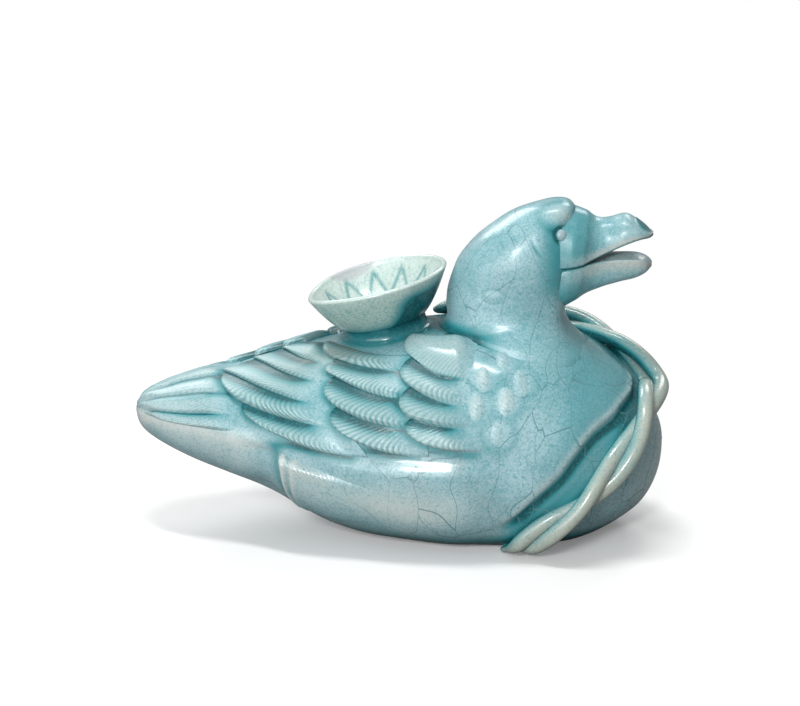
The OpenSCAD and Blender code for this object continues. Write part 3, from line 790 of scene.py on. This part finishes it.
# Twisted stem
def stem_strand(phase):
    sides = 28
    run = stem_run[:, None]
    left = run[-1] - run
    turn = phase + 360 * (run - TWIST_START) / TWIST_PITCH
    angle = ring_angles(sides)[None, :]
    end = 2.4 * STRAND
    taper = mix(0.35, 1, ease(run / end)) * mix(0.5, 1, ease(left / end))
    close = np.maximum(np.sqrt(0.002), quarter(np.minimum(run, left) / 2))
    radius = STRAND / 2
    high = taper * (STEM_HEIGHT + radius * cosd(turn) + close * radius * 1.08 * cosd(angle))
    aside = taper * (radius * sind(turn) + close * radius * 1.08 * sind(angle))
    p = stem_path[:, None] + np.maximum(-0.2, high)[..., None] * stem_up[:, None]
    p = p + aside[..., None] * stem_aside[:, None]
    p[..., 2] = np.maximum(p[..., 2], 0.3)
    top = high / (STEM_HEIGHT + 2 * radius)
    own = cosd(angle) + 0 * top
    pool_and_shade = 0.95 * (1 - ease(own + 0.75)) + 0.5 * (1 - ease((top - 0.1) / 0.35))
    pale = 0.62 * ease((own - 0.05) / 0.8) * (0.35 + 0.65 * ease((top - 0.25) / 0.4))
    return (p.reshape(-1, 3), tube_faces(len(p), sides)), dict(pool_and_shade=pool_and_shade, pale=pale)


for name, phase in (("stem_strand_one", 0), ("stem_strand_two", 180)):
    piece(name, stem_strand(phase), pale_glaze)


# Cup
lean = np.radians(-CUP_LEAN)
CUP_TURN = np.array([[np.cos(lean), 0, np.sin(lean)], [0, 1, 0], [-np.sin(lean), 0, np.cos(lean)]])
cup_base = np.array([-CUP_BACK, 0, back_z(-CUP_BACK, 0)])
foot_r, rim_r, hole_r = CUP_FOOT / 2, CUP_RIM / 2, FILLING_HOLE / 2


def from_cup(r, v, h):
    """Point at a radius, an angle and a height over the foot of the leaning cup. Its rim droops to the tail."""
    droop = bell((v + 360) % 360 - 180, 42) * ease((h - CUP_SEAT) / (CUP_HEIGHT - CUP_SEAT))
    r, h = r * (1 - 0.05 * droop), h - CUP_DROOP * droop
    local = np.stack([r * cosd(v), r * sind(v), h - CUP_SEAT + 0 * v], -1)
    return local @ CUP_TURN.T + cup_base


def filling_cup():
    sides = 192
    v = ring_angles(sides)
    f = np.linspace(0, 1, 28)
    rings, pool_and_shade, pale, bare = [], [], [], []

    def ring(points, pooled_and_shaded, thin, mended=0):
        rings.append(points)
        pool_and_shade.append(pooled_and_shaded + 0 * v)
        pale.append(thin + 0 * v)
        bare.append(mended + 0 * v)

    def mend(k):
        """Old grey repair at the far side of the rim."""
        return 0.6 * ease((k - 0.87 - 0.2 * ((v - MEND_TURN) / 30) ** 2) / 0.05)

    ring(from_cup(foot_r, v, 0.1), 0.5, 0)
    for out, rise in ((2.6, -0.5), (1.5, 0.15), (0.7, 0.6), (0.2, 1.3)):
        around = from_cup(foot_r + out, v, CUP_SEAT)
        around[:, 2] = back_z(around[:, 0], around[:, 1]) + rise
        ring(around, 0.9, 0)
    bowl, floor = CUP_SEAT + 0.6 * WALL, CUP_SEAT + WALL
    for k in f:
        # Painted shade: the outside of the bowl darkens towards the neck and the foot, where the neck and the
        # rim shade it.
        shade = ease((cosd(v) - 0.1) / 0.6) * ease((1.08 - k) / 0.5)
        outer = from_cup(mix(foot_r, rim_r, k), v, mix(bowl, CUP_HEIGHT, k**1.35))
        ring(outer, 0.9 * (1 - k) ** 3 + 0.04 + 1.25 * shade, 0.4 * ease((k - 0.75) / 0.25))
    for a in np.linspace(10, 170, 9):
        lip = from_cup(rim_r - CUP_LIP / 2 * (1 - cosd(a)), v, CUP_HEIGHT + CUP_LIP / 2 * sind(a))
        ring(lip, 0, 0.85, mend(1.0))
    for k in f[::-1]:
        veins = petal_lines(k, v)
        inner = from_cup(mix(hole_r, rim_r - CUP_LIP, k), v, mix(floor, CUP_HEIGHT, k**2.2) - 0.2 * veins)
        ring(inner, 0.6 * veins + 0.3 * (1 - k) ** 2 + 0.05, 0.8 - 0.65 * veins, mend(k))
    for h in np.linspace(floor - 0.6, 0.1, 5):
        ring(from_cup(hole_r, v, h), 0.4, 0.2)
    faces = sheet_faces(len(rings), sides, wrap=True)
    last = (len(rings) - 1) * sides
    faces += [[last + j, last + (j + 1) % sides, (j + 1) % sides, j] for j in range(sides)]
    return (np.concatenate(rings), faces), dict(pool_and_shade=np.stack(pool_and_shade), pale=np.stack(pale), bare=np.stack(bare))


def petal_lines(k, v):
    """Incised zigzag of lotus petals round the inside of the bowl."""
    petal = np.abs((v / 360 * PETALS) % 1 - 0.5) * 2
    height = (k - 0.45) / 0.47
    first = bell(petal - mix(1.05, 0.0, height), 0.2)
    second = bell(petal - mix(1.5, 0.5, height), 0.09) * 0.5
    return np.minimum(1, first + second) * ease((k - 0.4) / 0.1) * ease((0.97 - k) / 0.06)


piece("filling_cup", filling_cup(), cup_glaze)


# Neck and head
HEAD_ROWS = np.vstack([2 * HEAD[0] - HEAD[1], HEAD, HEAD[-2] * [1, 1, -1, -1, 1]])
HEAD_LAST = len(HEAD) - 1


def bill_face(z):
    return BILL_ROOT + BILL_SLOPE * (z - MOUTH_HEIGHT)


def head_form(t, v, less=0.0):
    """Point of the neck and head at a level t and an angle v, set in by less."""
    r = curve(HEAD_ROWS, t)
    a, b = NECK_LENGTH / 2 * r[..., 2] - less, HEAD_WIDTH / 2 * r[..., 3] - less
    x = NECK_FORWARD + NECK_LENGTH / 2 * r[..., 1] + a * signed_power(cosd(v), r[..., 4])
    y = b * signed_power(sind(v), r[..., 4])
    z = BACK_HEIGHT + HEAD_RISE * r[..., 0] - less * ease((t - 6) / 3)
    return x, y, z, a, b


def head_surface(t, v):
    """Outer skin of the neck and head: the neck runs out into the body, and the face is flat at the bill."""
    x, y, z, a, b = head_form(t, v)
    first = BACK_HEIGHT + HEAD_RISE * HEAD[1][0]
    z = np.where(t < 1, mix(back_z(x, y) - TUCK, first, clamp(t)), z)
    brow = ease((z - MOUTH_HEIGHT - 10) / 6)
    lore = ease((z - MOUTH_HEIGHT - 1) / 6) * (1 - brow)
    face = bill_face(z) - 0.2 + 1.2 * lore - 0.03 * y * y * brow
    x = soft_least(x, face, 6.0 + 2 * brow - 2 * lore)
    over = np.clip(z - CROWN_HEIGHT + 5, 0, None)
    x = soft_least(x, BILL_ROOT + 3.6 - 0.5 * over - 0.16 * over**2, 2.5)
    reach = mix(1.3, 9.0, ease((cosd(v) + 0.55) / 1.1))
    over = np.clip(z - back_z(x, y), 0, None)
    out = reach * (1 - quarter(over / reach))
    way = unit(np.stack([cosd(v) / a.clip(1), sind(v) / b.clip(1)], -1))
    x2, y2 = x + out * way[..., 0], y + out * way[..., 1]
    z = np.where(out > 0, back_z(x2, y2) + z - back_z(x, y), z)
    return np.stack([x2, y2, z], -1)


eye_spot = head_surface(EYE_T, EYE_V)
eye_out = unit(np.cross(head_surface(EYE_T, EYE_V + 1) - head_surface(EYE_T, EYE_V - 1),
                        head_surface(EYE_T + 0.05, EYE_V) - head_surface(EYE_T - 0.05, EYE_V)))
BROW = np.array([BILL_ROOT - 4.4, 8.4, CROWN_HEIGHT - 4.2])
LORE = np.array([BILL_ROOT - 0.7, 6.6, CROWN_HEIGHT - 5.6])
EAR = head_surface(3.2, -107) * FLIP


def neck_and_head():
    levels = np.concatenate([np.linspace(0, 1, 16)[:-1], np.linspace(1, HEAD_LAST - 0.03, 117)])
    t, v = grid(levels, ring_angles(RING))
    p = head_surface(t, v)
    closed = np.concatenate([p[:, -1:], p, p[:, :1]], 1)
    out = unit(np.cross(np.gradient(closed, axis=1), np.gradient(closed, axis=0)))[:, 1:-1]
    half = p * np.where(p[..., 1:2] < 0, FLIP, 1)
    eye = eye_spot * FLIP
    to_eye = norm(half - eye)
    to_brow = norm((half - BROW) * [0.85, 1, 1.15])
    to_lore = norm(half - LORE)
    to_ear = norm((half - EAR) * [0.75, 1, 1.25])
    socket = bell(to_eye - 2.6, 0.55)
    swing = np.degrees(np.arctan2(eye[2] - half[..., 2], eye[0] - half[..., 0]))
    cheek_line = bell(to_eye - 10.2, 0.55) * bell(swing - 28, 18)
    swell = 0.7 * bell(to_brow, 4.2) + 0.55 * bell(to_lore, 1.4) - 0.45 * socket - 0.25 * bell(to_eye, 2.2)
    swell = swell + 0.2 * bell(to_ear, 1.8) - 0.1 * bell(to_ear - 2.9, 0.6) - 0.3 * cheek_line
    swell = swell + ripple(p, (26, 0.14, 0.4), (15, 0.08, 2.0)) * ease(t)
    p = p + swell[..., None] * out
    top = np.array([[NECK_FORWARD + HEAD[-1][1] * NECK_LENGTH / 2, 0, CROWN_HEIGHT]])
    rows, inner_rows, inner_sides = len(p), 18, RING // FINE
    inner_t, inner_v = grid(np.linspace(0, 8.6, inner_rows), ring_angles(inner_sides))
    x, y, z = head_form(inner_t, inner_v, WALL)[:3]
    z = np.where(inner_t == 0, back_z(x, y) - TUCK, z)
    inner = np.stack([np.minimum(x, bill_face(z) - WALL), y, z], -1)
    inner_top = top - [[0.67 * WALL, 0, WALL]]
    tip = rows * RING
    first = tip + 1
    inner_tip = first + inner_rows * inner_sides
    faces = sheet_faces(rows, RING, wrap=True) + fan_faces(tip - RING, RING, tip)
    faces += sheet_faces(inner_rows, inner_sides, first, wrap=True)
    faces += fan_faces(inner_tip - inner_sides, inner_sides, inner_tip)
    for j in range(inner_sides):
        lowest = [(j * FINE + i) % RING for i in range(FINE + 1)]
        faces.append([*lowest, first + (j + 1) % inner_sides, first + j])
    points = np.concatenate([p.reshape(-1, 3), top, inner.reshape(-1, 3), inner_top])
    crease = bell(t, 0.9) * ease((-cosd(v) + 0.1) / 0.6)
    x, z = p[..., 0], p[..., 2]
    root = ease((x - BILL_ROOT + 16) / 11) * ease((z - MOUTH_HEIGHT + 14) / 10)
    root = root * (1 - 0.6 * ease((z - CROWN_HEIGHT + 9) / 6))
    pool_and_shade = 0.9 * crease + 0.75 * socket + 0.6 * root + 0.18 * bell(to_ear - 3.0, 0.8) + 0.12 + 0.45 * cheek_line
    pool_and_shade = pool_and_shade + 0.25 * bell(to_brow - 6.3, 1.4) + breast_pool(x) * ease((80 - z) / 9)
    # The paler crown is a painted sheen; the pale brow and ear are thin glaze.
    pale = 0.6 * bell(to_brow, 4.2) + 0.12 * bell(to_ear, 2) + 0.14 * ease((t - 7.5) / 2.5) - 0.3 * root
    return (points, faces), dict(pool_and_shade=pool_and_shade, pale=pale)


head = piece("neck_and_head", neck_and_head(), head_glaze)
bore(head, (BILL_ROOT - 2 * WALL, 0, MOUTH_HEIGHT - 0.3 * SPOUT), (sind(SPOUT_LEAN), 0, cosd(SPOUT_LEAN)),
     SPOUT, 4 * WALL)


# Eyes
def eye_pellet():
    sides, radius = 40, EYE / 2
    v = ring_angles(sides)
    side_way = unit(np.cross(eye_out, [0, 0, 1]))
    up_way = np.cross(side_way, eye_out)
    around = cosd(v)[:, None] * side_way + sind(v)[:, None] * up_way
    levels = [(radius, -0.7)]
    levels += [(radius * cosd(a), -0.35 + 0.3 * EYE * sind(a)) for a in np.linspace(0, 86, 14)]
    p = np.stack([eye_spot + h * eye_out + r * around for r, h in levels])
    high = np.linspace(0, 1, len(levels))[:, None] + 0 * v
    layers = dict(pool_and_shade=0.7 * (1 - high) ** 2, pale=0.3 + 0.6 * high)
    return (p.reshape(-1, 3), tube_faces(len(levels), sides)), layers


both_sides("eye", eye_pellet(), eye_glaze)


# Bill
def half_bill(rows, side):
    """One half of the bill: a domed outside, a hollow inside, and a nail on the tip of the upper half."""
    coarse = 4
    t = np.linspace(0, len(rows) - 1, 22 * coarse + 1)[:, None]
    c = -cosd(np.linspace(0, 180, 16 * coarse + 1))[None, :]
    r = through(rows, t[:, 0])[:, None, :]
    place, edge, ridge, half = [r[..., k] for k in range(4)]
    throat = ease((0.5 - place) / 0.3)
    hollow = 0.06 + 0.18 * (1 - place) if side > 0 else mix(-0.05, 0.1, throat)
    flare = clamp(1 - place / 0.42) ** 2.2
    dome = (1 - c * c).clip(0) ** (0.4 - 0.1 * flare)
    spread = 1 + (0.66 if side > 0 else 0.56) * flare * (1 - 0.3 * dome * (side > 0))
    y = BILL_WIDTH / 2 * half * c * spread * (1 - 0.16 * clamp(1 - place / 0.05))
    rim = side * 0.05
    outer = MOUTH_HEIGHT + BILL_HEIGHT * (edge + rim + (ridge - edge - rim) * dome)
    inner = MOUTH_HEIGHT + BILL_HEIGHT * (edge + side * hollow * (1 - c * c) * np.minimum(1, 4 * half))

    def at_height(z):
        back = 6.0 * clamp(1 - place / 0.11) ** 1.6
        x = BILL_ROOT + BILL_LENGTH * place + BILL_SLOPE * (z - MOUTH_HEIGHT) * (1 - place) - back
        return np.stack([x + 0 * z, y + 0 * z, z], -1)

    top = at_height(outer)
    out = sheet_normals(top)
    out = out * np.sign(dot(out, [0, 0, side]))[len(out) // 2, out.shape[1] // 2]
    root = clamp(1 - place / 0.3) ** 2 + 0 * c
    ring = np.sqrt(((place - 0.86) / 0.12) ** 2 + (c / 0.8) ** 2)
    nail = ease((1.1 - ring) / 0.3) if side > 0 else 0 * root
    swell = 0.8 * root + 0.25 * nail + ripple(top, (9, 0.04, 0.2), (6, 0.02, 1.0))
    top = top + swell[..., None] * out
    solid = slab(top, at_height(inner), coarse)
    # Pooled glaze and painted shade in the mouth: the bill's inner faces turn dark teal, most of all in the
    # throat.
    inside = (mix(0.9 if side > 0 else 0.25, 0.95, throat) + 0 * c)[::coarse, ::coarse].ravel()
    worn = (0.55 * (1 - throat) * (side < 0) * (1 - ease((c + 0.35) / 0.5)))[::coarse, ::coarse].ravel()
    brim = 1 - ease((dome - 0.05) / (0.2 if side > 0 else 0.5)) + 0 * place
    pool_and_shade = 0.6 * nail + 0.3 + 0.32 * (1 - ease((place - 0.02) / 0.4)) * (1 - 0.5 * brim)
    pale = 0.6 * brim * (1 - root) + 0.22 * ease((place - 0.35) / 0.3) * (1 - nail)
    bare = 0.6 * bell(place - 1, 0.05) + 0.25 * brim * ease((place - 0.1) / 0.2) + 0 * c
    pool_and_shade = np.concatenate([(pool_and_shade + 0 * c).ravel(), inside])
    pale = np.concatenate([(pale + 0 * c).ravel(), worn])
    return solid, dict(pool_and_shade=pool_and_shade, pale=pale, bare=bare)


for name, rows, side in (("upper_bill", UPPER, 1), ("lower_bill", LOWER, -1)):
    piece(name, half_bill(rows, side), bill_glaze)


# Body
def glazed_body():
    """Body with the apron's edge and the stem's bed, where its glaze pools, runs thin and ends, and where shade
    and sheen are painted.
    """
    t = np.linspace(0, 1, 261)
    t = BODY_LAST * mix(t, 0.5 - 0.5 * np.cos(np.pi * t), 0.35)[1:-1]
    t, v = grid(t, ring_angles(RING))
    p = body_point(t, v)
    out = body_normal(t, v)
    x, y, z = np.moveaxis(p, -1, 0)
    to_stem, i = nearest(p, stem_path)
    run = stem_run[i]
    ends = ease((run + 2) / 10) * ease((150 - run) / 30)
    # Way inside the apron's edge, and the share along that edge
    to_edge, i = nearest(p, apron_line)
    share = i / (len(apron_line) - 1)
    inside = np.sign(dot(p - apron_line[i], apron_in[i])) * to_edge
    inside = inside + mix(1.5, -2.6, ease((share - 0.02) / 0.42)) * (1 - ease((share - 0.75) / 0.25))
    hem = ease(share * 14) * ease((1 - share) * 7)
    lip = APRON_RISE * ease((inside + 1.3) / 2.6) * (1 - ease((inside - 1) / 15)) * hem
    groove = bell(inside + 2.4, 1.5) * hem
    stem_bed = bell(to_stem, 4.4) * ends
    foot = norm((p - cup_base)[..., :2]) - foot_r
    neck_x = (x - NECK_FORWARD) / (NECK_LENGTH / 2 * HEAD[0][2])
    neck_y = y / (HEAD_WIDTH / 2 * HEAD[0][3])
    ring = np.sqrt(neck_x * neck_x + neck_y * neck_y)
    on_back = ease((z - 52) / 8)
    crease = bell((ring - 1.02) * 19, 2.2) * ease((-neck_x / ring.clip(0.1) + 0.2) / 0.5) * on_back
    turn = np.where(v > 180, v - 360, v)
    turn = np.where(np.abs(turn) > 90, 180 * np.sign(turn) - turn, turn)
    hollow = 1.3 * bell(x + 43, 5) * ease((6 - turn) / 8) * ease((turn + 66) / 20)
    high = lip + 1.8 * stem_bed - 0.6 * groove - 0.4 * crease - hollow + flank_swell(x, turn)
    p = p + (high + body_wave(p))[..., None] * out
    x, y, z = np.moveaxis(p, -1, 0)
    z[:] = np.where(z > 2, z, np.where(z < -2, 0, (z.clip(-2) + 2) ** 2 / 8))
    bottom = ease((0.25 - z) / 0.2)
    right = p * np.where(p[..., 1:2] > 0, FLIP, 1)

    def beside(targets, reach, ring=0):
        return bell(nearest(right, targets)[0] - ring, reach)

    by_feathers = beside(np.concatenate([flight_tips, flight_edge, covert_edge, shoulder_edge]), 2.0)
    by_tail = beside(body_point(station(np.linspace(-86, -45, 120)), 3.0), 2.6)
    rim_v = np.linspace(FOLD_BOTTOM, FOLD_TOP, 60)
    rim_share = (FOLD_TOP - rim_v) / (FOLD_TOP - FOLD_BOTTOM)
    by_fold = beside(body_point(station(along(fold_rear(-22, rim_share))), rim_v), 2.4)
    by_scales = beside(body_point(station(along(SCALES[:, 0])), SCALES[:, 1]), 1.7, 5.6)
    near_foot = bell(foot.clip(0), 3.0) * on_back
    under_wing = bell(turn - flank_line(x) - 1.5, 3.2) * ease((x + 48) / 12) * ease((16 - x) / 26)
    band = ease(-inside / 2) * ease((inside + 9) / 3) * hem
    pool_and_shade = 0.8 * groove + 0.35 * band + 0.85 * bell(to_stem, 4.2) * ends + 0.9 * crease
    # The patch on the back between the cup's foot and the neck is a painted shadow.
    pool_and_shade = pool_and_shade + 0.85 * near_foot + 0.6 * by_feathers + 0.9 * bell(x - 14, 6) * bell(y, 12) * on_back
    pool_and_shade = pool_and_shade + 0.12 + breast_pool(x) * ease(inside / 4) + 0.32 * by_scales
    # Painted shade towards the bottom joins the pool layer.
    pool_and_shade = pool_and_shade + 0.5 * by_fold + 0.5 * under_wing + painted_bottom_shade(z)
    tail_side = ease((-40 - x) / 14) * bell(turn + 12, 22)
    # The pale layer also takes the painted sheen along the flank.
    pale = 0.4 * bell(inside - 1.4, 1.3) * hem + painted_flank_sheen(x, turn) + 0.5 * tail_side
    # The pale over the breast's front beyond the apron is a painted reflection of the floor.
    pale = pale + 0.3 * ease((x - 74) / 8) * ease(-inside / 6) + 0.6 * by_tail + 0.35 * ease((-x - 82) / 5)
    tips = body_point(np.array([0, BODY_LAST]), 0)
    tail_tip = len(p) * RING
    faces = sheet_faces(len(p), RING, wrap=True)
    faces += fan_faces(0, RING, tail_tip) + fan_faces(tail_tip - RING, RING, tail_tip + 1)
    solid = join((np.concatenate([p.reshape(-1, 3), tips]), faces), body_cavity())
    return solid, dict(pool_and_shade=pool_and_shade, pale=pale, bare=bottom)


def body_cavity():
    """Inner face of the wall, round at both ends and flat over the base."""
    sides = 48
    f, v = grid(np.linspace(0, 1, 41)[1:-1], ring_angles(sides))
    x, seam, half, rise, drop, p = section(mix(2.6, 13.2, f))
    r = np.sqrt(1 - np.abs(2 * f - 1) ** 8)
    inner = on_section(x, seam, (half - WALL) * r, (rise - WALL) * r, (drop - WALL) * r, p, v)
    inner[..., 2] = np.maximum(inner[..., 2], 1.1 * WALL)
    return inner.reshape(-1, 3), tube_faces(len(inner), sides)


body = piece("glazed_body", glazed_body(), celadon_glaze,
             nodes=["lower_body_shell", "upper_body_shell", "apron_edge"])
bore(body, (NECK_FORWARD, 0, BACK_HEIGHT - 3 * WALL), (0, 0, 1), NECK_HOLE, 4 * WALL)
bore(body, from_cup(0.0, 0.0, -2 * WALL), CUP_TURN[:, 2], FILLING_HOLE, 3 * WALL + CUP_SEAT)
bore(body, from_cup(0.0, 0.0, 0.0), CUP_TURN[:, 2], CUP_FOOT + 0.6, CUP_HEIGHT)


# Studio
WHITE, GREY = (1, 1, 1, 1), (0.24, 0.24, 0.24, 1)
LIGHT_AIM = (0.0, 0.0, 0.05)
# Softboxes: name, place, size, power
SOFTBOXES = (("overhead_softbox", (-0.05, -0.08, 1.0), (0.5, 0.1), 4.1),
             ("front_softbox", (-0.16, -0.95, 0.52), (0.2, 0.18), 4.7),
             ("low_front_softbox", (-0.5, -1.0, 0.27), (1.4, 0.5), 5.6),
             ("back_left_softbox", (-0.5, 0.75, 0.75), (0.5, 0.5), 4.4),
             ("back_right_softbox", (0.35, 0.95, 0.85), (0.5, 0.5), 3.4))


def studio_floor():
    """White floor that keeps the vessel's soft shadow."""
    half = 4.0
    corners = [(-half, -half, 0), (half, -half, 0), (half, half, 0), (-half, half, 0)]
    mesh = bpy.data.meshes.new("studio_floor")
    mesh.from_pydata(corners, [], [(0, 1, 2, 3)])
    material = bpy.data.materials.new("studio_paper")
    material.use_nodes = True
    tree = material.node_tree
    tree.nodes.remove(tree.nodes["Principled BSDF"])
    ray = node(tree, "LightPath", output="Is Camera Ray")
    place = node(tree, "TexCoord", output="Object")
    away = node(tree, "VectorMath", {"operation": "LENGTH"}, {0: place}, output="Value")
    paper = node(tree, "BsdfDiffuse", {}, {"Color": blend(GREY, WHITE, ray)})
    glow = node(tree, "Emission", {}, {"Color": WHITE, "Strength": 1.0})
    share = ray * (0.14 + away.smooth(0.12, 0.26) * 0.86)
    lit = node(tree, "MixShader", {}, {0: share, 1: paper, 2: glow})
    lit.to(tree.nodes["Material Output"].inputs["Surface"])
    mesh.materials.append(material)
    floor = placed("studio_floor", mesh)


studio_floor()
for name, place, size, power in SOFTBOXES:
    lamp = bpy.data.lights.new(name, "AREA")
    lamp.shape, lamp.size, lamp.size_y, lamp.energy = "ELLIPSE", *size, power
    made = placed(name, lamp)
    made.location = place
    made.rotation_euler = (Vector(LIGHT_AIM) - Vector(place)).to_track_quat("-Z", "Y").to_euler()
world = bpy.data.worlds.new("studio_air")
world.use_nodes = True
bpy.context.scene.world = world
air = world.node_tree
ray = node(air, "LightPath", output="Is Camera Ray")
(0.3 + ray * 0.7).to(air.nodes["Background"].inputs["Strength"])
air.nodes["Background"].inputs["Color"].default_value = WHITE

# Camera
AZIMUTH, ELEVATION = 3.0, 16.0
AIM = np.array([0.3, 0.0, 59.0])
DISTANCE = 900.0
FOCAL_PIXELS, IMAGE_WIDTH = 2700.0, 800.0
camera = bpy.data.cameras.new("camera")
camera.sensor_fit, camera.sensor_width = "HORIZONTAL", 36.0
camera.lens = FOCAL_PIXELS / IMAGE_WIDTH * camera.sensor_width
away = np.array([sind(AZIMUTH) * cosd(ELEVATION), -cosd(AZIMUTH) * cosd(ELEVATION), sind(ELEVATION)])
eye_point = placed("camera", camera)
eye_point.location = Vector((AIM + away * DISTANCE) * MM)
eye_point.rotation_euler = Vector(-away).to_track_quat("-Z", "Y").to_euler()
bpy.context.scene.camera = eye_point
bpy.context.scene.view_settings.view_transform = "Standard"
